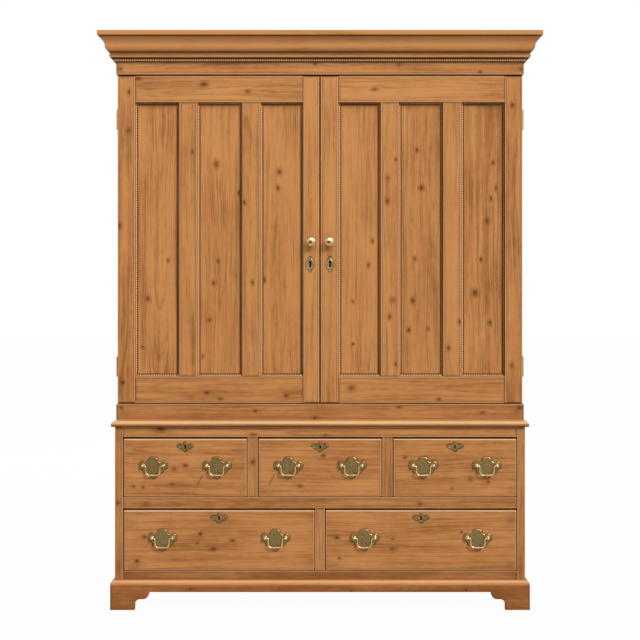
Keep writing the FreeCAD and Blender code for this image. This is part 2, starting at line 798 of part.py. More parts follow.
def door_keeper():
    """The box on the back of the left door that takes the lock's bolt."""
    x1 = meeting_edge("left") - FLUSH_SETBACK
    z0 = DOOR_KEY_HEIGHT - KEEPER_HEIGHT / 2
    box = block(
        x1 - KEEPER_WIDTH, x1, DOOR_BACK_Y, DOOR_BACK_Y + DOOR_LOCK_DEPTH, z0, z0 + KEEPER_HEIGHT
    )
    return box.cut(bolt_pocket(x1 - DOOR_BOLT_TRAVEL, x1))


def upright_bolt(up):
    """One of the left door's bolts, drawn back from the board that it shoots into."""
    x, y = upright_bolt_axis()
    sign = 1 if up else -1
    board = CUPBOARD_Z1 - CUPBOARD_BOARD if up else CUPBOARD_Z0 + CUPBOARD_BOARD
    tip = board - sign * FLUSH_SETBACK
    tail = tip - sign * UPRIGHT_BOLT_LENGTH
    knob_z = tip - sign * UPRIGHT_BOLT_LENGTH / 2 - sign * UPRIGHT_BOLT_TRAVEL / 2
    bar = rod(UPRIGHT_BOLT_RADIUS, V(x, y, tip), V(x, y, tail))
    knob = rod(BOLT_KNOB_RADIUS, V(x, y, knob_z), V(x, y + SADDLE_DEPTH / 2 + BOLT_KNOB_LENGTH, knob_z))
    return [bar.fuse(knob).removeSplitter()]


def bolt_plate(up):
    """The plate and its two saddles that guide an upright bolt."""
    x, y = upright_bolt_axis()
    sign = 1 if up else -1
    board = CUPBOARD_Z1 - CUPBOARD_BOARD if up else CUPBOARD_Z0 + CUPBOARD_BOARD
    middle = board - sign * (FLUSH_SETBACK + UPRIGHT_BOLT_LENGTH / 2)
    half = BOLT_PLATE_HEIGHT / 2
    plate = block(
        x - BOLT_PLATE_WIDTH / 2,
        x + BOLT_PLATE_WIDTH / 2,
        DOOR_BACK_Y,
        DOOR_BACK_Y + BOLT_PLATE,
        middle - half,
        middle + half,
    )
    for end in (-1, 1):
        z0 = middle + end * half
        plate = plate.fuse(
            block(
                x - SADDLE_WIDTH / 2,
                x + SADDLE_WIDTH / 2,
                DOOR_BACK_Y,
                DOOR_BACK_Y + BOLT_PLATE + SADDLE_DEPTH,
                z0,
                z0 - end * SADDLE_HEIGHT,
            )
        )
    hole = UPRIGHT_BOLT_RADIUS + BOLT_CLEARANCE
    plate = plate.removeSplitter()
    return plate.cut(rod(hole, V(x, y, middle - 2 * half), V(x, y, middle + 2 * half)))


def door_brasses(side):
    """Knob, escutcheon and hinge leaves, with the lock on the right and its keeper and bolts' plates left."""
    pieces = [door_knob(side), door_escutcheon(side)]
    pieces += [hinge_half(side, level, True) for level in hinge_levels()]
    if side == "right":
        pieces.append(door_lock())
    else:
        pieces += [door_keeper(), bolt_plate(True), bolt_plate(False)]
    return pieces


# Chest

def chest_top():
    """The chest's top board, its front and side edges rounded over."""
    half = CHEST_HALF + TOP_OVERHANG
    front = FACE_Y - TOP_OVERHANG
    board = block(-half, half, front, BACK_Y, CARCASE_TOP, CHEST_HEIGHT)
    for level, radius in ((CHEST_HEIGHT, TOP_EDGE_UPPER), (CARCASE_TOP, TOP_EDGE_LOWER)):
        edges = []
        for edge in board.Edges:
            box = edge.BoundBox
            flat = abs(box.ZMin - level) < 0.01 and abs(box.ZMax - level) < 0.01
            if flat and box.YMax < BACK_Y - 0.01:
                edges.append(edge)
            elif flat and box.XMax - box.XMin < 0.01:
                edges.append(edge)
        board = board.makeFillet(radius, edges)
    return [board]


def chest_sides():
    """The chest's two sides, behind the corner stiles."""
    return [
        block(
            sign * (CHEST_HALF - CHEST_SIDE),
            sign * CHEST_HALF,
            FRAME_BACK_Y,
            BACK_Y,
            PLINTH_BOARD_TOP,
            CARCASE_TOP,
        )
        for sign in SIDE_SIGN.values()
    ]


def chest_face_frame():
    """Corner stiles, three rails and the dividers, with mortises for the drawers' lock bolts."""
    half = OPENING_HALF
    stiles = [
        block(sign * half, sign * CHEST_HALF, FACE_Y, FRAME_BACK_Y, PLINTH_BOARD_TOP, CARCASE_TOP)
        for sign in SIDE_SIGN.values()
    ]
    rails = [
        block(-half, half, FACE_Y, FRAME_BACK_Y, PLINTH_BOARD_TOP, LOWER_Z0),
        block(-half, half, FACE_Y, FRAME_BACK_Y, LOWER_Z1, UPPER_Z0),
        block(-half, half, FACE_Y, FRAME_BACK_Y, UPPER_Z1, CARCASE_TOP),
    ]
    rails = [cut_all(rail, [bolt_mortise(opening) for opening in openings()]) for rail in rails]
    dividers = []
    for before, after in neighbours():
        dividers.append(block(before[1], after[0], FACE_Y, FRAME_BACK_Y, before[2], before[3]))
    return stiles + rails + dividers


def neighbours():
    """Pairs of drawer openings side by side in one row."""
    found = openings()
    pairs = []
    for before, after in zip(found, found[1:]):
        if before[2] == after[2]:
            pairs.append((before, after))
    return pairs


def runner_columns(pairs):
    """The x ranges of the runners of one row: one at each side and one behind each divider."""
    inside = CHEST_HALF - CHEST_SIDE
    columns = [
        (-inside, -OPENING_HALF + RUNNER_REACH),
        (OPENING_HALF - RUNNER_REACH, inside),
    ]
    for before, after in pairs:
        columns.append((before[1] - RUNNER_REACH, after[0] + RUNNER_REACH))
    return columns


def chest_runners():
    """Runners, kickers and guides behind the rails, and the drawers' stops on the rails."""
    upper = [pair for pair in neighbours() if pair[0][2] == UPPER_Z0]
    lower = [pair for pair in neighbours() if pair[0][2] == LOWER_Z0]
    y0 = FRAME_BACK_Y
    y1 = CHEST_BACK_FRONT_Y
    inside = CHEST_HALF - CHEST_SIDE
    pieces = []
    for pairs, z0, z1 in (
        (lower, PLINTH_HEIGHT, LOWER_Z0),
        (upper, LOWER_Z1, UPPER_Z0),
        (upper, UPPER_Z1, CARCASE_TOP),
    ):
        for x0, x1 in runner_columns(pairs):
            pieces.append(block(x0, x1, y0, y1, z0, z1))
    for pairs, z0 in ((lower, LOWER_Z0), (upper, UPPER_Z0)):
        for sign in SIDE_SIGN.values():
            pieces.append(block(sign * OPENING_HALF, sign * inside, y0, y1, z0, z0 + GUIDE_HEIGHT))
        for before, after in pairs:
            pieces.append(block(before[1], after[0], y0, y1, z0, z0 + GUIDE_HEIGHT))
    for x0, x1, z0, z1 in openings():
        for share in (0.25, 0.75):
            middle = x0 + (x1 - x0) * share
            pieces.append(
                block(
                    middle - STOP_WIDTH / 2,
                    middle + STOP_WIDTH / 2,
                    FACE_Y + DRAWER_FRONT + RUNNING_GAP,
                    FRAME_BACK_Y,
                    z0,
                    z0 + STOP_HEIGHT,
                )
            )
    return pieces


def chest_back():
    """Level back boards, one above the other, between the sides."""
    inside = CHEST_HALF - CHEST_SIDE
    height = (CARCASE_TOP - PLINTH_BOARD_TOP) / CHEST_BACK_BOARDS
    boards = []
    for index in range(CHEST_BACK_BOARDS):
        z0 = PLINTH_BOARD_TOP + index * height
        boards.append(block(-inside, inside, CHEST_BACK_FRONT_Y, BACK_Y, z0, z0 + height))
    return boards


# Plinth

def bracket_steps():
    """A foot's inner edge, from the rail down to the floor: (distance from the corner, height)."""
    straight = PLINTH_RAIL_BOTTOM - BRACKET_STRAIGHT
    bulge = BRACKET_ROUND * math.sqrt(0.5)
    hollow = BRACKET_HOLLOW * math.sqrt(0.5)
    round_x = BRACKET_REACH - BRACKET_ROUND
    return [
        (BRACKET_REACH, PLINTH_RAIL_BOTTOM),
        (BRACKET_REACH, straight),
        ((round_x + bulge, straight - bulge), (round_x, straight - BRACKET_ROUND)),
        (FOOT_WIDTH + BRACKET_HOLLOW, straight - BRACKET_ROUND),
        (
            (
                FOOT_WIDTH + BRACKET_HOLLOW - hollow,
                straight - BRACKET_ROUND - BRACKET_HOLLOW + hollow,
            ),
            (FOOT_WIDTH, straight - BRACKET_ROUND - BRACKET_HOLLOW),
        ),
        (FOOT_WIDTH, 0.0),
    ]


def footed_board(length, place, along):
    """A board on edge with a bracket foot cut at each end. Its outline is (distance along, height)."""
    inner = bracket_steps()
    mirrored = []
    ends = [step_end(step) for step in inner]
    for index in range(len(inner) - 1, -1, -1):
        x, z = ends[index]
        if index < len(inner) - 1 and isinstance(inner[index + 1][0], tuple):
            mx, mz = inner[index + 1][0]
            mirrored.append(((length - mx, mz), (length - x, z)))
        else:
            mirrored.append((length - x, z))
    outline = [(0.0, 0.0), (0.0, PLINTH_BOARD_TOP), (length, PLINTH_BOARD_TOP), (length, 0.0)]
    outline += mirrored + inner
    return prism(outline, place, along)


def plinth():
    """Front and side boards cut to bracket feet, a back rail, and the moulding on top of the boards."""
    half = CHEST_HALF + PLINTH_OUT
    front_y = FACE_Y - PLINTH_OUT
    front = footed_board(2 * half, lambda along, up: V(along - half, front_y, up), V(0, PLINTH_BOARD, 0))
    side_y = front_y + PLINTH_BOARD
    side_length = BACK_Y - front_y
    side = footed_board(
        side_length, lambda along, up: V(half - PLINTH_BOARD, front_y + along, up), V(PLINTH_BOARD, 0, 0)
    )
    side = side.cut(block(-half, half, front_y, side_y, 0, PLINTH_BOARD_TOP))
    inner = half - PLINTH_BOARD
    rail = block(-inner, inner, BACK_Y - PLINTH_BACK_RAIL, BACK_Y, PLINTH_RAIL_BOTTOM, PLINTH_BOARD_TOP)
    profile = [
        (0.0, 0.0),
        (PLINTH_OUT, 0.0),
        (PLINTH_OUT, PLINTH_MOULDING * 0.12),
        ((PLINTH_OUT * 0.70, PLINTH_MOULDING * 0.64), (PLINTH_OUT * 0.1, PLINTH_MOULDING)),
        (0.0, PLINTH_MOULDING),
    ]
    moulding = mitred_runs(profile, PLINTH_OUT, PLINTH_MOULDING, CHEST_HALF, FACE_Y, PLINTH_BOARD_TOP)
    return [front, side, side.mirror(V(0, 0, 0), V(1, 0, 0)), rail] + moulding


def foot_blocks():
    """Square blocks in the plinth's corners that carry the chest."""
    inner = CHEST_HALF + PLINTH_OUT - PLINTH_BOARD
    front = FACE_Y - PLINTH_OUT + PLINTH_BOARD
    blocks = []
    for sign in SIDE_SIGN.values():
        x0 = sign * (inner - FOOT_BLOCK)
        blocks.append(block(x0, sign * inner, front, front + FOOT_BLOCK, 0, PLINTH_BOARD_TOP))
        back = BACK_Y - PLINTH_BACK_RAIL
        blocks.append(block(x0, sign * inner, back - FOOT_BLOCK, back, 0, PLINTH_BOARD_TOP))
    return blocks


# Drawers

def drawer_limits(opening):
    """The x range and the top of a drawer in its opening."""
    return opening[0] + DRAWER_GAP_SIDE, opening[1] - DRAWER_GAP_SIDE, opening[3] - DRAWER_GAP_TOP


def drawer_bottom(opening):
    """The bottom panel, in grooves in the sides and the front, and under the back."""
    x0, x1 = drawer_limits(opening)[:2]
    z0 = opening[2] + RUNNING_GAP + BOTTOM_RAISE
    inset = DRAWER_SIDE - BOTTOM_GROOVE
    y0 = FACE_Y + DRAWER_FRONT - BOTTOM_GROOVE
    return block(x0 + inset, x1 - inset, y0, FACE_Y + DRAWER_LENGTH, z0, z0 + DRAWER_BOTTOM)


def drawer_sides(opening):
    """The two sides with their tails, before they are grooved for the bottom."""
    x0, x1, top = drawer_limits(opening)
    z0 = opening[2] + RUNNING_GAP
    z1 = top - SIDE_BELOW_FRONT
    joint_y = FACE_Y + DRAWER_FRONT
    foot = opening[2] + DRAWER_GAP_BOTTOM
    pitch = (z1 - foot) / TAILS
    sides = []
    for outer, inner in ((x0, x0 + DRAWER_SIDE), (x1, x1 - DRAWER_SIDE)):
        side = block(outer, inner, joint_y, FACE_Y + DRAWER_LENGTH, z0, z1)
        for index in range(TAILS):
            middle = foot + (index + 0.5) * pitch
            narrow = pitch * TAIL_SHARE / 2
            wide = narrow + TAIL_FLARE
            tail = prism(
                [
                    (joint_y, middle - narrow),
                    (joint_y - TAIL_LENGTH, middle - wide),
                    (joint_y - TAIL_LENGTH, middle + wide),
                    (joint_y, middle + narrow),
                ],
                lambda y, z: V(min(outer, inner), y, z),
                V(DRAWER_SIDE, 0, 0),
            )
            side = side.fuse(tail)
        sides.append(side.removeSplitter())
    return sides


def drawer_box(opening):
    """Two dovetailed sides, the bottom and the back."""
    x0, x1, top = drawer_limits(opening)
    bottom = drawer_bottom(opening)
    sides = [side.cut(bottom) for side in drawer_sides(opening)]
    back = block(
        x0 + DRAWER_SIDE,
        x1 - DRAWER_SIDE,
        FACE_Y + DRAWER_LENGTH - DRAWER_BACK,
        FACE_Y + DRAWER_LENGTH,
        bottom.BoundBox.ZMax,
        top - SIDE_BELOW_FRONT - BACK_BELOW_SIDE,
    )
    return sides + [bottom, back]


def drawer_lock_case(opening):
    """The block of a drawer's lock, before its bolt's way is cut."""
    x = key_place(opening)[0]
    top = drawer_limits(opening)[2]
    y1 = FACE_Y + DRAWER_FRONT
    half = DRAWER_LOCK_WIDTH / 2
    return block(x - half, x + half, y1 - DRAWER_LOCK_DEPTH, y1, top - DRAWER_LOCK_HEIGHT, top)


def drawer_bolt_bar(opening, low, high, gap):
    """The bar of a drawer's bolt between two heights, widened all round by a gap."""
    x = key_place(opening)[0]
    middle_y = FACE_Y + DRAWER_FRONT - DRAWER_LOCK_DEPTH / 2
    half_x = DRAWER_BOLT_WIDTH / 2 + gap
    half_y = DRAWER_BOLT_DEPTH / 2 + gap
    return block(x - half_x, x + half_x, middle_y - half_y, middle_y + half_y, low, high)


def drawer_bolt(opening):
    """A drawer lock's bolt, drawn down level with the front's top edge."""
    tip = drawer_limits(opening)[2] - FLUSH_SETBACK
    return [drawer_bolt_bar(opening, tip - DRAWER_BOLT_LENGTH, tip, 0.0)]


def bolt_mortise(opening):
    """The mortise in the rail over a drawer, for its bolt."""
    tip = drawer_limits(opening)[2] - FLUSH_SETBACK
    over = opening[3]
    return drawer_bolt_bar(opening, over, tip + DRAWER_BOLT_TRAVEL + BOLT_CLEARANCE, BOLT_CLEARANCE)


def drawer_front(opening):
    """The front, with its face edges eased, cut for the tails, bottom, lock and handle stems."""
    x0, x1, top = drawer_limits(opening)
    foot = opening[2] + DRAWER_GAP_BOTTOM
    front = block(x0, x1, FACE_Y, FACE_Y + DRAWER_FRONT, foot, top)
    edges = [edge for edge in front.Edges if edge.BoundBox.YMax < FACE_Y + 0.01]
    front = front.makeFillet(FRONT_ARRIS, edges)
    x, z = key_place(opening)
    mates = drawer_sides(opening) + [drawer_bottom(opening), drawer_lock_case(opening)]
    mates.append(key_cut(x, z, DRAWER_KEYHOLE, FACE_Y, FACE_Y + DRAWER_FRONT))
    for px, pz in pull_places(opening):
        for offset in (-POST_SPACING / 2, POST_SPACING / 2):
            mates.append(
                rod(POST_STEM, V(px + offset, FACE_Y, pz), V(px + offset, FACE_Y + DRAWER_FRONT, pz))
            )
    return [cut_all(front, mates)]


def handle_plate(px, pz):
    """A batwing back plate. Its outline is symmetric, with cusps between the lobes."""
    wide = PLATE_HALF_WIDTH
    top = PLATE_TOP
    drop = PLATE_DROP
    right_half = [
        (0.0, top),
        ((wide * 0.20, top * 0.97), (wide * 0.33, top * 0.76)),
        ((wide * 0.38, top * 0.50), (wide * 0.50, top * 0.42)),
        ((wide * 0.62, top * 0.32), (wide * 0.72, top * 0.52)),
        ((wide * 0.90, top * 0.44), (wide, top * 0.10)),
        ((wide * 0.99, -drop * 0.12), (wide * 0.88, -drop * 0.24)),
        ((wide * 0.78, -drop * 0.25), (wide * 0.72, -drop * 0.34)),
        ((wide * 0.66, -drop * 0.50), (wide * 0.48, -drop * 0.57)),
        ((wide * 0.34, -drop * 0.60), (wide * 0.27, -drop * 0.74)),
        ((wide * 0.17, -drop * 0.86), (0.0, -drop)),
    ]
    plate = prism(
        both_sides(right_half), lambda across, up: V(px + across, FACE_Y, pz + up), V(0, -PLATE, 0)
    )
    for offset in (-POST_SPACING / 2, POST_SPACING / 2):
        plate = plate.cut(
            rod(POST_STEM, V(px + offset, FACE_Y - PLATE, pz), V(px + offset, FACE_Y, pz))
        )
    return plate


def handle_post(x, z, inward):
    """A post with a ball end, drilled from its inner side for the bail, and its stem through the front."""
    ball = POST_BALL
    reach = POST_PROJECTION
    root = math.sqrt(ball * ball - POST_NECK * POST_NECK)
    profile = [
        (0.0, -DRAWER_FRONT - NUT),
        (POST_STEM, -DRAWER_FRONT - NUT),
        (POST_STEM, PLATE),
        (POST_COLLAR, PLATE),
        (POST_COLLAR, PLATE + COLLAR),
        ((POST_NECK * 1.3, PLATE + COLLAR * 2.2), (POST_NECK, PLATE + COLLAR * 3.5)),
        (POST_NECK, reach - root),
        ((ball, reach), (0.0, reach + ball)),
    ]
    post = turned(profile, x, FACE_Y, z)
    eye_y = FACE_Y - reach
    inner = V(x + inward * BAIL_PIN_INSET - inward * PIN_CLEARANCE, eye_y, z)
    return post.cut(rod(BAIL_RADIUS + PIN_CLEARANCE, inner, V(x + inward * 2 * ball, eye_y, z)))


def handle_nut(x, z):
    """The round nut behind the drawer's front."""
    y0 = FACE_Y + DRAWER_FRONT
    nut = rod(NUT_RADIUS, V(x, y0, z), V(x, y0 + NUT, z))
    return nut.cut(rod(POST_STEM, V(x, y0, z), V(x, y0 + NUT, z)))


def drawer_escutcheon(opening):
    """A wide pointed plate with cusps at its shoulders, round the keyhole."""
    x, z = key_place(opening)
    wide = DRAWER_ESCUTCHEON_WIDTH / 2
    high = DRAWER_ESCUTCHEON_HEIGHT / 2
    right_half = [
        (0.0, high * 0.98),
        ((wide * 0.13, high * 0.80), (wide * 0.23, high * 0.52)),
        ((wide * 0.40, high * 0.40), (wide * 0.60, high * 0.57)),
        ((wide * 0.83, high * 0.49), (wide, high * 0.06)),
        ((wide * 0.78, -high * 0.14), (wide * 0.63, -high * 0.43)),
        ((wide * 0.42, -high * 0.40), (wide * 0.28, -high * 0.63)),
        ((wide * 0.17, -high * 0.80), (0.0, -high * 1.02)),
    ]
    plate = prism(
        both_sides(right_half), lambda across, up: V(x + across, FACE_Y, z + up), V(0, -ESCUTCHEON, 0)
    )
    return plate.cut(key_cut(x, z, DRAWER_KEYHOLE, FACE_Y - 2 * ESCUTCHEON, FACE_Y))


def drawer_brasses(opening):
    """Two handle plates with posts and nuts, the escutcheon and the lock."""
    pieces = []
    for px, pz in pull_places(opening):
        pieces.append(handle_plate(px, pz))
        for sign in (-1, 1):
            x = px + sign * POST_SPACING / 2
            pieces += [handle_post(x, pz, -sign), handle_nut(x, pz)]
    pieces.append(drawer_escutcheon(opening))
    x, z = key_place(opening)
    tip = drawer_limits(opening)[2]
    low = tip - FLUSH_SETBACK - DRAWER_BOLT_LENGTH - BOLT_CLEARANCE
    lock = drawer_lock_case(opening).cut(drawer_bolt_bar(opening, low, tip, BOLT_CLEARANCE))
    face = FACE_Y + DRAWER_FRONT - DRAWER_LOCK_DEPTH
    lock = lock.cut(key_cut(x, z, DRAWER_KEYHOLE, face, face + KEYHOLE_POCKET))
    pieces.append(lock)
    return pieces


def bail(px, pz):
    """A swinging bail: pins in the posts, a tight shoulder down to each leg, and round lower corners."""
    y = FACE_Y - POST_PROJECTION
    half = BAIL_HALF_WIDTH
    shoulder = BAIL_SHOULDER
    corner = BAIL_CORNER
    end = POST_SPACING / 2 - BAIL_PIN_INSET
    bend = 1 - math.sqrt(0.5)

    def place(across, up):
        """A point of the bail's middle line in its upright plane."""
        return V(px + across, y, pz + up)

    right_half = [
        (end, 0.0),
        (half + shoulder, 0.0),
        ((half + shoulder * bend, -shoulder * bend), (half, -shoulder)),
        (half, corner - BAIL_DROP),
        ((half - corner * bend, corner * bend - BAIL_DROP), (half - corner, -BAIL_DROP)),
    ]
    path = Part.Wire(route(both_sides(right_half), place))
    start = place(end, 0.0)
    circle = Part.Wire(Part.makeCircle(BAIL_RADIUS, start, V(1, 0, 0)))
    return [path.makePipeShell([circle], True, False)]


# The whole press

def all_nodes():
    """Each node's name and its solids."""
    nodes = {
        "cornice_crown": cornice_crown(),
        "cornice_bed": cornice_bed(),
        "cornice_dust_boards": cornice_dust_boards(),
        "frieze": frieze(),
        "cupboard_sides": cupboard_sides(),
        "cupboard_top_floor": cupboard_top_floor(),
        "cupboard_shelves": cupboard_shelves(),
        "cupboard_back": cupboard_back(),
        "cupboard_hinges": cupboard_hinges(),
        "waist_frame": waist_frame(),
        "chest_top": chest_top(),
        "chest_sides": chest_sides(),
        "chest_face_frame": chest_face_frame(),
        "chest_runners": chest_runners(),
        "chest_back": chest_back(),
        "plinth": plinth(),
        "foot_blocks": foot_blocks(),
        "door_right_lock_bolt": door_lock_bolt(),
        "door_left_bolt_top": upright_bolt(True),
        "door_left_bolt_bottom": upright_bolt(False),
    }
    for side in SIDE_SIGN:
        nodes["door_" + side + "_stiles"] = door_stiles(side)
        nodes["door_" + side + "_rails"] = door_rails(side)
        nodes["door_" + side + "_panels"] = door_panels(side)
        nodes["door_" + side + "_mouldings"] = door_mouldings(side)
        nodes["door_" + side + "_brasses"] = door_brasses(side)
    for number, opening in enumerate(openings(), start=1):
        name = "drawer_" + str(number)
        nodes[name + "_front"] = drawer_front(opening)
        nodes[name + "_box"] = drawer_box(opening)
        nodes[name + "_brasses"] = drawer_brasses(opening)
        nodes[name + "_lock_bolt"] = drawer_bolt(opening)
        for letter, (px, pz) in zip("ab", pull_places(opening)):
            nodes[name + "_bail_" + letter] = bail(px, pz)
    return nodes


def main():
    """Writes one STEP file for each node."""
    os.makedirs("parts", exist_ok=True)
    for name, solids in all_nodes().items():
        shape = Part.makeCompound(solids) if len(solids) > 1 else solids[0]
        for solid in shape.Solids:
            if not solid.isValid():
                print("not valid:", name)
        print(name, len(shape.Solids), "solids,", round(shape.Volume / 1000.0, 1), "cm3")
        shape.exportStep("parts/" + name + ".step")


if __name__ == "__main__":
    main()
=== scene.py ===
"""Honey pine linen press with brass handles: the visible pieces, their finishes and the stage.

Metres, X to the right, Y to the back, Z up, in the place of the measured frame.
"""
import json
import math

import bpy
import numpy as np
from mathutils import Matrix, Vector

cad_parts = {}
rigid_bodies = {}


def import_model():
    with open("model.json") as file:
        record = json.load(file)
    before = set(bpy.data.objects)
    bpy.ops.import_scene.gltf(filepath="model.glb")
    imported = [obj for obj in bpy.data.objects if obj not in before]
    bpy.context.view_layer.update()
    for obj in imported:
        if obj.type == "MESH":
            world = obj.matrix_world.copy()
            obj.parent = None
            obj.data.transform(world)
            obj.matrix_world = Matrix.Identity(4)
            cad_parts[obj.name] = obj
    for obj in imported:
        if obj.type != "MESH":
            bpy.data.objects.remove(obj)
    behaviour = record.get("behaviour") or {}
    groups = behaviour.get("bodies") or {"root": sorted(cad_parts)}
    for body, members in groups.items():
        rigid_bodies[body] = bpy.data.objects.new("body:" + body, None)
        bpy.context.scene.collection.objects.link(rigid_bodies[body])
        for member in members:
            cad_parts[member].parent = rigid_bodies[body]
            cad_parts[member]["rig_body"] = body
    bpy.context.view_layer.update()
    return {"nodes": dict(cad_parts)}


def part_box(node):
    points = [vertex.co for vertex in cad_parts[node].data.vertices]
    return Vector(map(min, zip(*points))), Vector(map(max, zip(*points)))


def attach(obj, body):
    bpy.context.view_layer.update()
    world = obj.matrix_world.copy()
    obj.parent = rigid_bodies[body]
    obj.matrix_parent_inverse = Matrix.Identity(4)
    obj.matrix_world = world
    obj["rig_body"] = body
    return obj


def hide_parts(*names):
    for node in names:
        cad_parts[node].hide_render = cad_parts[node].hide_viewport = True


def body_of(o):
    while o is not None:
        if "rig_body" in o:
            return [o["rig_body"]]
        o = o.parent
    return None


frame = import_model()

bl_info = {
    "name": "Pine Linen Press",
    "version": (1, 0, 0),
    "blender": (4, 5, 0),
    "location": "3D View > Sidebar > Linen Press",
    "description": "Builds a two-part pine linen press with brass handles over its measured frame",
    "category": "Add Mesh",
}

MM = 0.001

# Camera, and the photograph's frame in pixels
PHOTO_SIZE = 640
PHOTO_CENTRE = 320.0
CAMERA_DISTANCE = 5.0
CAMERA_HEIGHT = 1.18
MIDDLE_HEIGHT = 1.07
PIXEL_AT_CHEST = 3.7 * MM
SENSOR = 36.0

# Joinery that the frame's boxes don't tell
CHEST_SIDE = 22.0 * MM
CORNER_STILE = 29.0 * MM
GAP_SIDE = 2.5 * MM
GAP_TOP = 5.0 * MM
GAP_BOTTOM = 1.5 * MM
FRAME_BOARD = 30.0 * MM
CUPBOARD_SIDE = 22.0 * MM
SHELF = 22.0 * MM
SHELVES = 3
BEARER_WIDTH = 20.0 * MM
BEARER_HEIGHT = 32.0 * MM
CUPBOARD_BACK_BOARDS = 8
CHEST_BACK_BOARDS = 4
DUST_BOARDS = 4
HINGE_STILE = 64.5 * MM
MEETING_STILE = {"left": 59.0 * MM, "right": 65.5 * MM}
MUNTIN = 67.0 * MM
PANEL_SHARES = (0.335, 0.3405, 0.3245)
TOP_RAIL = 97.5 * MM
BOTTOM_RAIL = 98.0 * MM
PANEL_GROOVE = 8.0 * MM
STRIP_WIDTH = 11.0 * MM
STRIP_HEIGHT = 6.5 * MM
# Painted shade between the turned pearls and a painted highlight on their crowns
PEARL_GAP_SHADE = 1.0
PEARL_CROWN_HIGHLIGHT = 1.3
PLINTH_BOARD = 28.0 * MM
PLINTH_OUT = 15.5 * MM
PLINTH_MOULDING = 18.5 * MM
PLINTH_RAIL_BOTTOM = 66.3 * MM
PLINTH_BACK_RAIL = 22.0 * MM
PLINTH_JOINT = 0.05 * MM
FOOT_WIDTH = 90.0 * MM
BRACKET_REACH = 142.0 * MM
BRACKET_STRAIGHT = 6.3 * MM
BRACKET_ROUND = 20.0 * MM
BRACKET_HOLLOW = 21.0 * MM
FOOT_BLOCK = 50.0 * MM
CROWN_REACH = 62.5 * MM
CROWN_HEIGHT = 82.0 * MM
FASCIA_HEIGHT = 17.5 * MM
BED_REACH = 23.7 * MM
BED_HEIGHT = 27.0 * MM
HALF_ROUND = 5.9 * MM
TOP_EDGE_UPPER = 14.0 * MM
TOP_EDGE_LOWER = 5.0 * MM
TOP_BORDER = 60.0 * MM
DRAWER_SIDE = 12.0 * MM
DRAWER_BACK = 12.0 * MM
DRAWER_BOTTOM = 8.0 * MM
BOTTOM_RAISE = 8.0 * MM
BOTTOM_GROOVE = 5.0 * MM
BACK_BELOW_SIDE = 8.0 * MM
SIDE_BELOW_FRONT = 4.0 * MM
TAILS = 3
TAIL_LENGTH = 14.0 * MM
TAIL_FLARE = 4.0 * MM
TAIL_SHARE = 0.64

# Brasses
POST_SPACING = 76.0 * MM
UPPER_PULL_OFFSET = 117.5 * MM
LOWER_PULL_OFFSET = 209.0 * MM
UPPER_PULL_DROP = 101.0 * MM
LOWER_PULL_DROP = 104.0 * MM
KEY_DROP = 31.0 * MM
PLATE = 1.5 * MM
PLATE_HALF_WIDTH = 52.0 * MM
PLATE_TOP = 31.0 * MM
PLATE_DROP = 48.5 * MM
POST_BALL = 6.0 * MM
POST_REACH = 13.0 * MM
POST_NECK = 3.2 * MM
POST_COLLAR = 7.0 * MM
COLLAR = 1.2 * MM
NUT_RADIUS = 6.0 * MM
NUT = 4.0 * MM
BAIL_RADIUS = 2.8 * MM
BAIL_HALF_WIDTH = 26.0 * MM
BAIL_DROP = 34.0 * MM
BAIL_SHOULDER = 6.0 * MM
BAIL_CORNER = 13.5 * MM
BAIL_PIN_INSET = 3.0 * MM
ESCUTCHEON = 1.4 * MM
DRAWER_ESCUTCHEON = (60.0 * MM, 35.0 * MM)
DOOR_ESCUTCHEON = (28.0 * MM, 56.0 * MM)
DRAWER_KEYHOLE = 14.0 * MM
DOOR_KEYHOLE = 22.0 * MM
DOOR_KEY_X = {"left": -36.75 * MM, "right": 36.75 * MM}
DOOR_KEY_Z = 1277.5 * MM
KNOB_X = {"left": -32.25 * MM, "right": 35.5 * MM}
KNOB_Z = 1360.5 * MM
KNOB_RADIUS = 17.5 * MM
KNOB_REACH = 32.0 * MM
KNOB_NECK = 6.0 * MM
KNOB_ROSE = 11.0 * MM
KNOB_SHOULDER = 2.5 * MM
KNOB_CAP_RISE = 5.5 * MM
HINGE_LENGTH = 76.0 * MM
HINGE_LOW = 96.0 * MM
HINGE_HIGH = 122.0 * MM
KNUCKLES = 5
KNUCKLE_RADIUS = 4.2 * MM
KNUCKLE_GAP = 0.3 * MM
LEAF_WIDTH = 20.0 * MM
LEAF = 1.9 * MM
LOCK_WIDTH = 50.0 * MM
LOCK_DEPTH = 12.0 * MM
DOOR_LOCK_DEPTH = 13.0 * MM
DOOR_LOCK_HEIGHT = 70.0 * MM
KEEPER_WIDTH = 19.0 * MM
KEEPER_HEIGHT = 34.0 * MM
BOLT_GAP = 0.4 * MM
BOLT_TRAVEL = 12.0 * MM
ROD_RADIUS = 3.0 * MM
MORTISE_ROOM = 0.8 * MM
BOLT_PLATE = (24.0 * MM, 2.5 * MM, 72.0 * MM)
SADDLE = (16.0 * MM, 11.0 * MM, 10.0 * MM)
SADDLE_SPOKES = 24
PROUD = 0.12 * MM
HINGE_BEHIND = 0.5 * MM
PLATE_RIM = 2.6 * MM
ESCUTCHEON_RIM = 1.6 * MM
ESCUTCHEON_SPOKES = 96
KEYHOLE_BACK = 0.25 * MM
KEYHOLE_GROWTH = 1.12

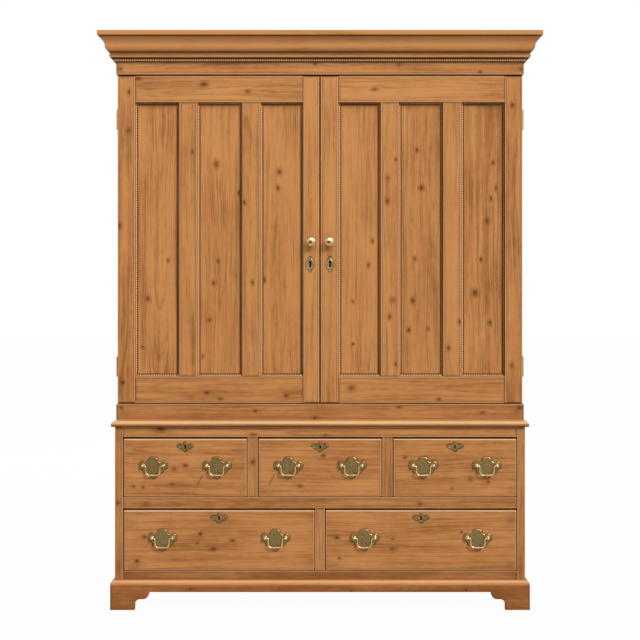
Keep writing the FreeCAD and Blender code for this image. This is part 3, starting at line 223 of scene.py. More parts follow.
# Rounding of edges apart from the case's and the drawer fronts'
COMMON_EDGE = 0.8 * MM
BACK_EDGE = 0.9 * MM
FLOOR_EDGE = 0.5 * MM
SHELF_EDGE = 1.2 * MM
BEARER_EDGE = 1.0 * MM
PANEL_EDGE = 0.5 * MM
TOP_EDGE = 0.2 * MM
PLINTH_EDGE = 1.4 * MM
BLOCK_EDGE = 1.5 * MM
LOCK_EDGE = 0.3 * MM
PLATE_EDGE = 0.4 * MM
LEAF_EDGE = 0.2 * MM
KNUCKLE_EDGE = 0.4 * MM
STRAP_EDGE = 0.1 * MM

# Widest mesh cells: of a board, along and across one with knots, of the crown, of the plinth's moulding and
# rails, and in a panel's shaded corner
PLAIN_CELL = 60.0 * MM
KNOT_CELLS = (22.0 * MM, 12.0 * MM)
CROWN_CELL = 22.0 * MM
PLINTH_CELL = 40.0 * MM
RAIL_CELL = 90.0 * MM
SHADE_CELL = 4.0 * MM

# The even strip inside each rounded edge, the least distance between two cuts, and the room before a mitre
RIM = 0.7 * MM
CLOSEST = 0.15 * MM
MITRE_ROOM = 0.5 * MM

# How far beyond its size a knot counts as near, and its size on a board beside that in the table of knots
KNOT_REACH = 3.0 * MM
KNOT_GROWTH = 1.25

# Radii of strewn knots, in millimetres
SMALLEST_KNOT = 0.9
LARGEST_SPECK = 1.6
LARGEST_WILD = 6.5

# Wear and a painted highlight on the case's arrises, and painted shade on its walls in the gaps. Painted
# shade in a mortise, wear and a painted highlight on the plinth's front arris where the value is less than
# nothing, and soil along a scratch. The share of a wall's painted shade that it loses towards the back. A
# reach beyond any board, where no edge is near
CASE_WEAR_AND_HIGHLIGHT = 0.35
CASE_GAP_SHADE = 0.85
MORTISE_SHADE = 0.7
FOOT_WEAR_AND_HIGHLIGHT = -0.35
SCRATCH_WIDTH = 1.7 * MM
SCRATCH_SOIL = 0.8
WALL_FADE = 0.6
FAR = 9.0

# Knots seen in the photograph, in its pixels, with their size in millimetres
KNOTS = {
    "frieze": [(120.2, 68.7, 6), (315, 64, 4), (398.8, 64.7, 5), (480, 71.7, 4), (521, 69.7, 5)],
    "door_left": [(204, 84.3, 7), (247.7, 91.6, 5), (138, 78, 6), (129, 92, 4), (128.6, 130.4, 6),
                  (119.8, 225.8, 5), (122.7, 382.6, 5), (168.2, 260.4, 4), (147.7, 298.7, 6),
                  (142.5, 347, 4), (192.7, 151.7, 4), (216.2, 164.2, 8), (239.4, 193, 5), (213.8, 283, 6),
                  (218, 261, 4), (209.7, 320, 6), (203, 356.4, 4), (244, 202.3, 5), (252.6, 282.5, 4),
                  (279.3, 171.8, 6), (278, 188, 4), (264, 279.4, 5), (206.6, 392.8, 5), (220.3, 398.7, 4),
                  (286.3, 395.8, 5)],
    "door_right": [(374.6, 89.2, 5), (512.4, 105, 6), (511.7, 365.5, 5), (396, 159.5, 4), (387.8, 178, 5),
                   (387.5, 201, 5), (392.7, 300, 6), (389.6, 316.5, 5), (395.7, 364, 4), (372.5, 241, 4),
                   (368.5, 265, 5), (353, 301.6, 5), (353, 344, 4), (421.4, 187.8, 6), (417, 150, 4),
                   (415, 258.8, 5), (412.6, 300.7, 6), (408.6, 330, 5), (428, 329, 4), (460, 321.8, 5),
                   (448.5, 348, 5), (496, 187.8, 5), (493, 163, 4), (487, 220.7, 5), (491, 198.5, 4),
                   (475, 292.8, 9), (490, 322.6, 5), (481, 259.5, 4), (351.3, 388, 8), (439, 399, 5)],
    "waist_frame": [(121.4, 407.5, 5), (255, 411, 4), (314.8, 418, 4), (482.4, 412.6, 5),
                    (519.4, 408, 5), (398.8, 407, 4)],
    "chest_face_frame": [(160.7, 429, 7), (253, 434.7, 5), (326, 435.7, 4), (252.8, 462, 6),
                         (118, 503, 5), (146, 505, 4), (420, 504, 4)],
    "drawer_1": [(174, 469, 6), (185.4, 465.6, 5), (172, 484.4, 5), (133.5, 486.4, 4), (143, 487.3, 4)],
    "drawer_2": [(323.4, 455.5, 5), (300, 486, 4)],
    "drawer_3": [(405, 457.5, 4), (470.5, 479, 5), (488.3, 481.8, 4), (452, 488.7, 4)],
    "drawer_4": [(200.4, 533.7, 5), (232.7, 540.6, 4), (213.4, 548.8, 5), (144.5, 537, 5),
                 (137, 561, 5), (197, 543, 4)],
    "drawer_5": [(336.8, 537.6, 5), (392.5, 549, 5), (461.4, 532.3, 4), (339.4, 558, 4), (393, 538.8, 4)],
    "plinth": [(190, 589, 5), (352, 591, 4), (466, 590, 5)],
}

# Smudges seen in the photograph: middle, half width and half height in its pixels, and strength
SMUDGES = {
    "chest_face_frame": [(119.5, 566, 4.5, 15, 0.40), (520.0, 566, 4.5, 15, 0.40), (118.5, 437, 4, 6, 0.25),
                         (160.7, 428, 6, 3, 0.25)],
    "drawer_1": [(243, 454, 4, 8, 0.28), (125, 440, 5, 3, 0.22)],
    "drawer_2": [(262, 492, 8, 3, 0.25), (379, 445, 4, 8, 0.22)],
    "drawer_3": [(513, 492, 5, 5, 0.30), (397, 440, 6, 3, 0.2)],
    "drawer_4": [(134, 567, 10, 4, 0.45), (311, 518, 4, 6, 0.30), (311, 561, 4, 6, 0.30)],
    "drawer_5": [(333, 566, 8, 4, 0.28), (511, 520, 5, 7, 0.28), (511, 565, 6, 4, 0.30)],
    "waist_frame": [(124, 412, 6, 6, 0.25), (516, 412, 6, 6, 0.25)],
    "door_left": [(122, 392, 4, 10, 0.25), (312, 250, 3, 14, 0.15)],
    "door_right": [(520, 392, 4, 10, 0.25), (329, 250, 3, 14, 0.15)],
}

# Scratches seen in the photograph, from end to end in its pixels
SCRATCHES = {"drawer_1": (202, 476, 197, 485), "drawer_2": (274, 475, 269, 485)}


def from_screen(red, green, blue):
    """A screen colour from 0 to 255 as the linear colour that shaders take."""
    values = np.array([red, green, blue]) / 255.0
    low = values / 12.92
    high = ((values + 0.055) / 1.055) ** 2.4
    return tuple(float(v) for v in np.where(values <= 0.04045, low, high))


# Settings that a user would change


class PressSizes(bpy.types.PropertyGroup):
    """Sizes of the fine detail."""

    board_edge: bpy.props.FloatProperty(
        name="Board edge", description="Rounding of the case boards' edges", default=1.0 * MM, unit="LENGTH")
    drawer_edge: bpy.props.FloatProperty(
        name="Drawer edge", description="Rounding of the drawer fronts' edges", default=5.2 * MM,
        unit="LENGTH")
    pearl_pitch: bpy.props.FloatProperty(
        name="Pearl pitch", description="Distance from one turned pearl to the next", default=8.65 * MM,
        unit="LENGTH")
    bail_swell: bpy.props.FloatProperty(
        name="Bail swell", description="Share by which a bail's middle is thicker than its ends",
        default=0.10, subtype="FACTOR")
    ring_width: bpy.props.FloatProperty(
        name="Ring width", description="Width of the pine's growth rings", default=5.2 * MM, unit="LENGTH")


class PressColours(bpy.types.PropertyGroup):
    """Colours of the waxed pine and of the brass."""

    pine_light: bpy.props.FloatVectorProperty(
        name="Pine, light", description="Early wood between the ring lines", size=3, subtype="COLOR",
        default=from_screen(203, 141, 83))
    pine_dark: bpy.props.FloatVectorProperty(
        name="Pine, dark", description="Late wood in the ring lines", size=3, subtype="COLOR",
        default=from_screen(137, 83, 38))
    pine_inside: bpy.props.FloatVectorProperty(
        name="Pine, inside", description="Unpolished wood inside and behind", size=3, subtype="COLOR",
        default=from_screen(196, 150, 98))
    knot: bpy.props.FloatVectorProperty(
        name="Knot", description="Heart of the knots", size=3, subtype="COLOR",
        default=from_screen(72, 42, 28))
    # The colour of old wax and dust, and also of the painted shade in gaps, hollows and under strips
    soil: bpy.props.FloatVectorProperty(
        name="Soil", description="Old wax and dust in corners and hollows", size=3, subtype="COLOR",
        default=from_screen(40, 21, 9))
    brass: bpy.props.FloatVectorProperty(
        name="Brass", description="Rubbed brass", size=3, subtype="COLOR",
        default=from_screen(224, 198, 140))
    brass_aged: bpy.props.FloatVectorProperty(
        name="Brass, aged", description="Dull brass of the plates", size=3, subtype="COLOR",
        default=from_screen(158, 132, 86))


# Surfaces


def arc_points(start, middle, end, samples):
    """Points on the circle through three points: centre plus radius times (cosine, sine) of even angles."""
    (ax, ay), (bx, by), (cx, cy) = start, middle, end
    a2 = ax * ax + ay * ay
    b2 = bx * bx + by * by
    c2 = cx * cx + cy * cy
    double_area = 2 * (ax * (by - cy) + bx * (cy - ay) + cx * (ay - by))
    ox = (a2 * (by - cy) + b2 * (cy - ay) + c2 * (ay - by)) / double_area
    oy = (a2 * (cx - bx) + b2 * (ax - cx) + c2 * (bx - ax)) / double_area
    radius = math.hypot(ax - ox, ay - oy)
    first = math.atan2(ay - oy, ax - ox)
    full = 2 * math.pi
    to_middle = (math.atan2(by - oy, bx - ox) - first) % full
    turn = (math.atan2(cy - oy, cx - ox) - first) % full
    if to_middle > turn:
        turn -= full
    angles = first + turn * np.arange(1, samples + 1) / samples
    return np.stack([ox + radius * np.cos(angles), oy + radius * np.sin(angles)], 1)


def outline_points(steps, samples=8):
    """An outline as points. A step is a point to run straight to, or an arc's middle and end."""
    found = [np.array([steps[0]], float)]
    here = steps[0]
    for step in steps[1:]:
        if isinstance(step[0], tuple):
            found.append(arc_points(here, step[0], step[1], samples))
            here = step[1]
        else:
            found.append(np.array([step], float))
            here = step
    return np.concatenate(found)


def mirrored(right):
    """A closed outline from its right half, which runs from the top point to the bottom point."""
    left = right[-2:0:-1] * np.array([-1.0, 1.0])
    return np.concatenate([right, left])


def seed_numbers(seed, count):
    """Repeatable numbers from 0 to 1 for a seed."""
    return np.random.default_rng(int(seed * 1000) + 17).random(count)


class Shell:
    """Gathers the closed surfaces of one piece, with what the finishes read at each point and face."""

    def __init__(self, seed):
        self.seed = seed
        self.count = 0
        self.points = []
        self.faces = []
        # Soil and shade: dirt and painted shade, and below nothing wear and a painted highlight
        self.point_values = {"grain": [], "reach": [], "board": [], "soil": []}
        self.knots = []

    def add(self, points, faces, grain, reach=(FAR, FAR, FAR), tint=None, soil=None, knots=()):
        """Adds a closed surface, its faces turned outward by the sign of the volume that they enclose."""
        self.seed += 0.37
        number = len(points)
        middle = points.mean(0)
        volume = 0.0
        for group in faces:
            hub = points[group[:, 0]] - middle
            for k in range(1, group.shape[1] - 1):
                cross = np.cross(points[group[:, k]] - middle, points[group[:, k + 1]] - middle)
                volume += float((hub * cross).sum())
        if volume < 0:
            faces = [group[:, ::-1] for group in faces]
        light, red = (seed_numbers(self.seed, 2) - 0.5) * 0.7
        if tint is not None:
            light, red = tint
        self.points.append(points)
        self.point_values["grain"].append(grain)
        self.point_values["reach"].append(np.tile(np.array(reach, float), (number, 1)))
        self.point_values["board"].append(np.tile(np.array([self.seed, light, red]), (number, 1)))
        self.point_values["soil"].append(np.zeros(number) if soil is None else soil)
        for group in faces:
            self.faces.append(group + self.count)
            self.knots.append(nearest_knots(grain[group].mean(1), knots))
        self.count += number

    def build(self, name, node, finish, slot, smooth=35.0):
        """Makes the object, joins it to the CAD node's body and lets it stand for that node."""
        mesh = bpy.data.meshes.new(name)
        points = np.concatenate(self.points)
        sizes = np.concatenate([np.full(len(group), group.shape[1]) for group in self.faces])
        loops = np.concatenate([group.ravel() for group in self.faces])
        mesh.vertices.add(len(points))
        mesh.vertices.foreach_set("co", points.astype(np.float32).ravel())
        mesh.loops.add(len(loops))
        mesh.loops.foreach_set("vertex_index", loops.astype(np.int32))
        mesh.polygons.add(len(sizes))
        starts = np.concatenate([[0], np.cumsum(sizes)[:-1]])
        mesh.polygons.foreach_set("loop_start", starts.astype(np.int32))
        mesh.polygons.foreach_set("use_smooth", np.ones(len(sizes), bool))
        mesh.update(calc_edges=True)
        for label, parts in self.point_values.items():
            keep_values(mesh, label, parts, "POINT")
        keep_values(mesh, "knot", self.knots, "FACE")
        mesh.set_sharp_from_angle(angle=math.radians(smooth))
        mesh.materials.append(bpy.data.materials[finish])
        piece = bpy.data.objects.new(name, mesh)
        bpy.context.scene.collection.objects.link(piece)
        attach(piece, body_of(frame["nodes"][node])[0])
        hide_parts(node)


def keep_values(mesh, label, parts, domain):
    """Keeps a number or a vector for each point or face of a mesh."""
    values = np.concatenate(parts).astype(np.float32)
    kind, field = ("FLOAT", "value") if values.ndim == 1 else ("FLOAT_VECTOR", "vector")
    mesh.attributes.new(label, kind, domain).data.foreach_set(field, values.ravel())


def nearest_knots(places, knots):
    """For each place in the grain, the knot (along, across, radius) with the least distance over its size."""
    if len(knots) == 0:
        return np.zeros((len(places), 3))
    table = np.array(knots, float)
    along = (places[:, None, 0] - table[None, :, 0]) / 2.0
    across = places[:, None, 1] - table[None, :, 1]
    distance = np.hypot(along, across) / (table[None, :, 2] + KNOT_REACH)
    return table[distance.argmin(1)]


def edge_cuts(low, high, edge, cell, extra=()):
    """Places from low to high: two in each rounded edge, even cells and the extras between them."""
    count = max(2, int(math.ceil((high - low - 2 * edge) / cell)) + 1)
    inner = np.linspace(low + edge, high - edge, count)
    rim = np.array([low + edge + RIM, high - edge - RIM])
    wanted = np.sort(np.concatenate([inner, rim, np.array(extra, float)]))
    wanted = wanted[(wanted >= low + edge) & (wanted <= high - edge)]
    wanted = wanted[np.concatenate([[True], np.diff(wanted) > CLOSEST])]
    wanted[-1] = high - edge
    lead = np.array([0.0, (1 - math.tan(math.pi / 8)) * edge])
    return np.concatenate([low + lead, wanted, (high - lead)[::-1]])


def sunk(surface, quads, taken, level):
    """Moves the taken quads to a level along Z. A wall closes each side that only one of them has."""
    inner, moved = np.unique(quads[taken], return_inverse=True)
    floor = surface[inner]
    floor[:, 2] = level
    below = len(surface) + moved.reshape(-1, 4)
    sides = np.stack([quads[taken], np.roll(quads[taken], -1, axis=1)], -1).reshape(-1, 2)
    deep = np.stack([below, np.roll(below, -1, axis=1)], -1).reshape(-1, 2)
    there = sides[:, 0] * len(surface) + sides[:, 1]
    back = sides[:, 1] * len(surface) + sides[:, 0]
    rim = ~np.isin(there, back)
    walls = np.column_stack([sides[rim], deep[rim][:, ::-1]])
    return np.concatenate([surface, floor]), np.concatenate([quads[~taken], below, walls])


def box_grid(low, high, cuts):
    """The six sides of a box as points at the cuts, and their quads, turned outward."""
    points = []
    faces = []
    offset = 0
    for axis in range(3):
        a, b = [k for k in range(3) if k != axis]
        grid_a, grid_b = np.meshgrid(cuts[a], cuts[b], indexing="ij")
        for end in (low[axis], high[axis]):
            flat = np.empty(grid_a.shape + (3,))
            flat[..., a] = grid_a
            flat[..., b] = grid_b
            flat[..., axis] = end
            index = np.arange(grid_a.size).reshape(grid_a.shape) + offset
            quads = np.stack([index[:-1, :-1], index[1:, :-1], index[1:, 1:], index[:-1, 1:]], -1)
            quads = quads.reshape(-1, 4)
            if (end == low[axis]) != (axis == 1):
                quads = quads[:, ::-1]
            points.append(flat.reshape(-1, 3))
            faces.append(quads)
            offset += grid_a.size
    return np.concatenate(points), np.concatenate(faces)


def board(shell, low, high, along, edge=COMMON_EDGE, knots=(), tint=None, rub=0.0, grimy=0.0, stain=None,
          extra=((), (), ()), deep=None, clean=(), mortises=()):
    """A board with rounded edges.

    Each point of the box is pulled in to the box less the edge radius, then pushed out again by that radius
    towards where it was. The grain's coordinates are the place from the board's middle: along, across, deep.
    Soil and shade is less than nothing on the rounded edges: wear and a painted highlight. On the walls
    behind the front it is more, painted shade in the gaps, and thins out towards the back, but the walls
    named in clean, each an axis and its low or high end, have none. A mortise, with its low and high corner,
    is cut from the underside (end 0) or the top (end 1), and its floor and walls get painted shade.
    """
    low = np.array(low, float)
    high = np.array(high, float)
    size = high - low
    others = [k for k in range(3) if k != along]
    deep = others[int(np.argmin(size[others]))] if deep is None else deep
    across = [k for k in others if k != deep][0]
    steps = np.full(3, PLAIN_CELL)
    if len(knots):
        steps[[along, across]] = KNOT_CELLS
    cuts = []
    for k in range(3):
        room = [corner[k] for mortise in mortises for corner in mortise[1:]] if k < 2 else []
        cuts.append(edge_cuts(low[k], high[k], edge, steps[k], np.append(extra[k], room)))
    flat, faces = box_grid(low, high, cuts)
    core = np.clip(flat, low + edge, high - edge)
    away = flat - core
    surface = core + edge * away / np.linalg.norm(away, axis=1)[:, None]
    keys = np.round(surface * 1e7).astype(np.int64)
    first, back = np.unique(keys, axis=0, return_index=True, return_inverse=True)[1:]
    quads = back.ravel()[faces]
    surface = surface[first]
    nearness = np.sort(np.minimum(flat[first] - low, high - flat[first]), axis=1)[:, 1]
    # Wear and a painted highlight on the rounded edges, painted shade on the walls in the gaps
    soil = np.where(nearness < edge * 0.99, -rub, 0.0)
    wall = (surface[:, 1] > low[1] + edge + RIM * 0.5) & (surface[:, 1] < high[1] - edge * 0.5)
    soil = np.where(wall, grimy * (1.0 - WALL_FADE * (surface[:, 1] - low[1]) / size[1]), soil)
    for axis, end in clean:
        there = np.abs(surface[:, axis] - (low, high)[end][axis]) < edge * 0.5
        soil = np.where(there & (soil > 0), 0.0, soil)
    if stain is not None:
        soil = soil + stain(surface)
    for end, room_low, room_high in mortises:
        middle = surface[quads].mean(1)
        inside = ((middle[:, :2] > room_low[:2]) & (middle[:, :2] < room_high[:2])).all(1)
        near = np.abs(middle[:, 2] - (low, high)[end][2]) < edge
        surface, quads = sunk(surface, quads, inside & near, (room_high, room_low)[end][2])
    # Painted shade on the mortise's floor and walls
    soil = np.append(soil, np.full(len(surface) - len(soil), MORTISE_SHADE))
    grain = (surface - (low + high) / 2)[:, [along, across, deep]]
    reach = (size / 2)[[along, across, deep]]
    shell.add(surface, [quads], grain, reach, tint, soil, knots)


def lock_mortise(number, end):
    """Room round a drawer lock's bolt: in its own front (end 1), or for its rise in the rail (end 0)."""
    low, high = corners("drawer_" + str(number) + "_lock_bolt")
    rise = BOLT_TRAVEL if end == 0 else 0.0
    return end, low - MORTISE_ROOM, high + MORTISE_ROOM + np.array([0.0, 0.0, rise])


def rod_mortise(node, end):
    """Room for an upright bolt's rod over its whole travel, in the board above (end 0) or below (end 1)."""
    low, high = corners(node)
    half = ROD_RADIUS + MORTISE_ROOM
    middle = (low + high) / 2
    middle[1] = corners("door_left_stiles")[1][1] + BOLT_PLATE[1] + SADDLE[1] / 2
    room = np.array([half, half, (high[2] - low[2]) / 2 + BOLT_TRAVEL + MORTISE_ROOM])
    return end, middle - room, middle + room


def photo_place(x, y, plane):
    """Where the camera's line through a pixel meets an upright plane that faces it: (x, z)."""
    distance = plane - camera_y()
    scale = PIXEL_AT_CHEST * distance / CAMERA_DISTANCE
    shift = (CAMERA_HEIGHT - MIDDLE_HEIGHT) / PIXEL_AT_CHEST
    return (x - PHOTO_CENTRE) * scale, CAMERA_HEIGHT - (y - PHOTO_CENTRE + shift) * scale


def camera_y():
    """The camera stands a set distance in front of the chest's face."""
    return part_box("chest_face_frame")[0].y - CAMERA_DISTANCE


def wax_round(outlines, plane, width=3.0 * MM, strength=1.0):
    """A dark line by a bell curve of the distance from outlines: wax, dirt and painted shadow round brasses.
    """
    dense = []
    for outline in outlines:
        ahead = np.roll(outline, -1, axis=0)
        for share in (0.0, 0.5):
            dense.append(outline + (ahead - outline) * share)
    dense = np.concatenate(dense)

    def stain(points):
        """The darkening at each point of a board."""
        found = np.zeros(len(points))
        near = np.where(points[:, 1] < plane + MM)[0]
        for part in np.array_split(near, max(1, len(near) // 2000)):
            offset = points[part][:, None, [0, 2]] - dense[None]
            distance = np.sqrt((offset ** 2).sum(2)).min(1)
            found[part] = strength * np.exp(-(distance / width) ** 2)
        return found

    return stain


def shaded(right, plane, top, reach=11.0 * MM, strength=0.34):
    """Painted shade under a panel's top strip and along its right one, fading by a bell curve."""

    def stain(points):
        """Painted shade at each point of the panel."""
        below = (top - points[:, 2]) / reach
        beside = (right - points[:, 0]) / (reach * 0.5)
        fall = np.exp(-below ** 2) + 0.5 * np.exp(-beside ** 2)
        return np.where(points[:, 1] < plane + MM, strength * np.minimum(fall, 1.0), 0.0)

    return stain


def smudged(group, plane):
    """A group's smudges: each fades by a bell curve across and up from its middle."""
    places = []
    for px, py, wide, tall, strength in SMUDGES.get(group, []):
        x, z = photo_place(px, py, plane)
        places.append((x, z, wide * PIXEL_AT_CHEST, tall * PIXEL_AT_CHEST, strength))

    def stain(points):
        """Soil at each point of a board."""
        found = np.zeros(len(points))
        front = points[:, 1] < plane + MM
        for x, z, wide, tall, strength in places:
            fall = ((points[:, 0] - x) / wide) ** 2 + ((points[:, 2] - z) / tall) ** 2
            found += np.where(front, strength * np.exp(-fall), 0.0)
        return found

    return stain


def scratch_lines(group, plane):
    """A group's scratch as even points along it."""
    if group not in SCRATCHES:
        return []
    px0, py0, px1, py1 = SCRATCHES[group]
    start = np.array(photo_place(px0, py0, plane))
    end = np.array(photo_place(px1, py1, plane))
    return [start + (end - start) * np.linspace(0, 1, 14)[:, None]]


def top_arris(low, high, edge):
    """A drawer front's top arris: painted shade where it meets the gap, a painted highlight just below."""

    def stain(points):
        """Painted shade and highlight at each point of the board."""
        below = high[2] - points[:, 2]
        dark = np.where(below < edge * 0.42, 1.6, 0.0)
        bright = np.where((below > edge * 0.55) & (below < edge + RIM * 2.5), -1.0, 0.0)
        return np.where(points[:, 1] < low[1] + edge * 0.8, dark + bright, 0.0)

    return stain


def summed(*stains_and_shade):
    """One mark of soil and shade from several."""

    def stain(points):
        """The sum of their marks."""
        return sum(each(points) for each in stains_and_shade)

    return stain


def close_cuts(outlines, step=2.4 * MM, margin=7.0 * MM):
    """Close cuts along X and Z where a board carries brasses, so that the dark line round them is sharp."""
    across = []
    upward = []
    for outline in outlines:
        low = outline.min(0) - margin
        high = outline.max(0) + margin
        across.append(np.arange(low[0], high[0], step))
        upward.append(np.arange(low[1], high[1], step))
    return np.concatenate(across), (), np.concatenate(upward)


def seen_knots(group, low, high, along):
    """The knots of a group that lie on a board's front, in the board's grain coordinates."""
    found = []
    for px, py, size in KNOTS.get(group, []):
        x, z = photo_place(px, py, low[1])
        if low[0] < x < high[0] and low[2] < z < high[2]:
            middle_x = (low[0] + high[0]) / 2
            middle_z = (low[2] + high[2]) / 2
            place = (x - middle_x, z - middle_z) if along == 0 else (z - middle_z, x - middle_x)
            found.append((place[0], place[1], size * KNOT_GROWTH * MM))
    return found


def wild_knots(low, high, along, seed, density, small, large):
    """Knots strewn evenly over a board's broad face, as many as its area times a density."""
    size = np.array(high) - np.array(low)
    others = [k for k in range(3) if k != along]
    across = others[int(np.argmax(size[others]))]
    number = int(size[along] * size[across] * density + 0.5)
    values = seed_numbers(seed + 5.5, number * 3).reshape(number, 3)
    found = []
    for a, b, c in values:
        radius = (small + (large - small) * c ** 3) * MM
        found.append(((a - 0.5) * size[along] * 0.96, (b - 0.5) * size[across] * 0.9, radius))
    return found


def ring_quads(rows, columns, closed=False):
    """Numbers for points in rings, and quads from each ring to the next and, closed, back to the first."""
    index = np.arange(rows * columns).reshape(rows, columns)
    rings = np.concatenate([index, index[:1]]) if closed else index
    around = np.roll(rings, -1, axis=1)
    quads = np.stack([rings[:-1], around[:-1], around[1:], rings[1:]], -1)
    return index, quads.reshape(-1, 4)


def fan(pole, ring, turned=False):
    """Triangles from one point to each side of a ring."""
    after = np.roll(ring, -1)
    sides = [after, ring] if turned else [ring, after]
    return np.stack([np.full(len(ring), pole)] + sides, -1)


def placed(rings, place):
    """Every point of rings that are flat outlines, each with its depth."""
    return np.concatenate([place(flat, np.full(len(flat), depth)) for flat, depth in rings])


def moulding(shell, profile, start, end, run, outward, base, mitres, cells, soil=None, pearls=None, tint=None,
             upward=2):
    """A profile carried along a straight line, its ends cut at a mitre.

    profile holds (out, up). A point lies at base plus out times the outward direction plus up along the
    upward axis, and along the run at a cell's place. At each end it is moved by out times that mitre's slope.
    With pearls, (first point, last point, pitch, rub), the points between the two stand off the straight
    line that joins them by their own distance times a half circle's height over each pitch. Between the
    pearls the soil and shade is painted shade, and rub sets a painted highlight on their crowns.
    """
    out = profile[:, 0]
    up = profile[:, 1]
    starts = start + out * mitres[0]
    ends = end + out * mitres[1]
    inner = cells[(cells > starts.max() + MITRE_ROOM) & (cells < ends.min() - MITRE_ROOM)]
    places = np.concatenate([starts[None], np.repeat(inner[:, None], len(out), 1), ends[None]])
    outs = np.repeat(out[None], len(places), 0)
    ups = np.repeat(up[None], len(places), 0)
    stains_and_shade = np.repeat(soil[None], len(places), 0)
    if pearls is not None:
        first, last, pitch, rub = pearls
        phase = (inner / pitch) % 1.0
        swell = np.sqrt(np.clip(1 - (2 * phase - 1) ** 2, 0, 1))
        share = np.linspace(0, 1, last - first + 1)
        chord_out = out[first] + (out[last] - out[first]) * share
        chord_up = up[first] + (up[last] - up[first]) * share
        span = slice(first, last + 1)
        outs[1:-1, span] = chord_out + (out[span] - chord_out) * swell[:, None]
        ups[1:-1, span] = chord_up + (up[span] - chord_up) * swell[:, None]
        bulge = np.sin(math.pi * share)
        # Painted shade between the pearls and a painted highlight on their crowns
        stains_and_shade[1:-1, span] = PEARL_GAP_SHADE - (PEARL_GAP_SHADE + rub) * bulge ** 0.7 * swell[:, None] ** 1.5
        outs[0, span] = outs[-1, span] = chord_out
        ups[0, span] = ups[-1, span] = chord_up
        places[0] = start + outs[0] * mitres[0]
        places[-1] = end + outs[-1] * mitres[1]
    across = np.array(outward, float)
    lift = np.zeros(3)
    lift[upward] = 1.0
    points = np.array(base, float) + outs[..., None] * across + ups[..., None] * lift
    points[..., run] = places + (outs * across[run] if across[run] else 0)
    index, quads = ring_quads(*outs.shape)
    grain = np.stack([places - (start + end) / 2, ups, outs], -1).reshape(-1, 3)
    faces = [quads, index[:1, ::-1], index[-1:]]
    shell.add(points.reshape(-1, 3), faces, grain, soil=stains_and_shade.ravel(), tint=tint)


def even_cells(start, end, cell):
    """Even places along a run."""
    return np.linspace(start, end, max(2, int((end - start) / cell)) + 1)


def pearl_cells(start, end, pitch):
    """Places along a run of pearls, six to a pearl, closer where a pearl is steep."""
    phases = np.array([0.0, 0.07, 0.25, 0.5, 0.75, 0.93])
    whole = np.arange(math.floor(start / pitch) - 1, math.ceil(end / pitch) + 1)
    return ((whole[:, None] + phases[None]) * pitch).ravel()


def three_runs(shell, profile, half, front, base_z, back, cell, **options):
    """A moulding on the front and both sides, mitred at both corners. A cell is a pearl if it has pearls."""
    cells = pearl_cells if "pearls" in options else even_cells
    reach = profile[:, 0].max()
    moulding(shell, profile, -half, half, 0, (0, -1, 0), (0, front, base_z), (-1, 1),
             cells(-half - reach, half + reach, cell), **options)
    for side in (-1, 1):
        moulding(shell, profile, front, back, 1, (side, 0, 0), (side * half, 0, base_z), (-1, 0),
                 cells(front - reach, back, cell), **options)


def lathe(shell, profile, origin, axis, turns):
    """A turned shape, closed at its poles: radius times (cosine, sine) round the axis at each distance."""
    axis = np.array(axis, float)
    side = np.array([1.0, 0.0, 0.0])
    angle = 2 * math.pi * np.arange(turns) / turns
    ring = np.cos(angle)[:, None] * side + np.sin(angle)[:, None] * np.cross(axis, side)
    body = profile[1:-1, 0, None, None] * ring[None] + profile[1:-1, 1, None, None] * axis
    index, quads = ring_quads(len(body), turns)
    faces = [quads, fan(index.size, index[0], True), fan(index.size + 1, index[-1])]
    points = np.concatenate([body.reshape(-1, 3), np.outer(profile[[0, -1], 1], axis)])
    shell.add(points + np.array(origin, float), faces, points, tint=(0, 0))


def swept_bar(shell, path, radii, sides=16):
    """A round bar along a path that lies flat to the front: radius times (cosine, sine) across the path."""
    tangent = np.gradient(path, axis=0)
    tangent /= np.linalg.norm(tangent, axis=1)[:, None]
    binormal = np.array([0.0, 1.0, 0.0])
    normal = np.cross(tangent, binormal)
    angle = 2 * math.pi * np.arange(sides) / sides
    ring = np.cos(angle)[None, :, None] * normal[:, None] + np.sin(angle)[None, :, None] * binormal
    points = (path[:, None] + ring * radii[:, None, None]).reshape(-1, 3)
    index, quads = ring_quads(len(path), sides)
    shell.add(points, [quads, index[:1, ::-1], index[-1:]], points - path.mean(0), tint=(0, 0))


def domed_plate(shell, outline, hub, place, thickness, rim):
    """A flat plate with a bevelled rim: rings drawn in from the outline towards the hub by set distances.

    The grain's third coordinate is that distance, which the engraving follows.
    """
    spokes = outline - hub
    lengths = np.linalg.norm(spokes, axis=1)
    insets = np.array([0.0, 0.0, 0.5, 1.0, 1.35, 1.8, 2.4, 3.6]) * rim
    depths = np.array([0.0, 0.30, 0.72, 1.0, 0.96, 0.80, 0.84, 0.86]) * thickness
    rings = []
    inward = []
    for inset, depth in zip(insets, depths):
        share = np.clip(1 - inset / lengths, 0.05, 1)
        rings.append((hub + spokes * share[:, None], depth))
        inward.append(np.minimum(inset, lengths))
    rings += [(np.array([hub]), thickness * 0.88), (np.array([hub]), 0.0)]
    inward.append(np.array([lengths.min(), 0.0]))
    index, quads = ring_quads(len(insets), len(outline))
    faces = [quads, fan(index.size, index[-1]), fan(index.size + 1, index[0], True)]
    local = np.concatenate([flat for flat, depth in rings])
    shell.add(placed(rings, place), faces, np.column_stack([local, np.concatenate(inward)]), tint=(0, 0))


def ring_loop(shell, rings, place, grain=None):
    """A closed loop of outlines, each with its depth, the last joined to the first."""
    points = placed(rings, place)
    quads = ring_quads(len(rings), len(rings[0][0]), closed=True)[1]
    shell.add(points, [quads], points - points.mean(0) if grain is None else grain, tint=(0, 0))


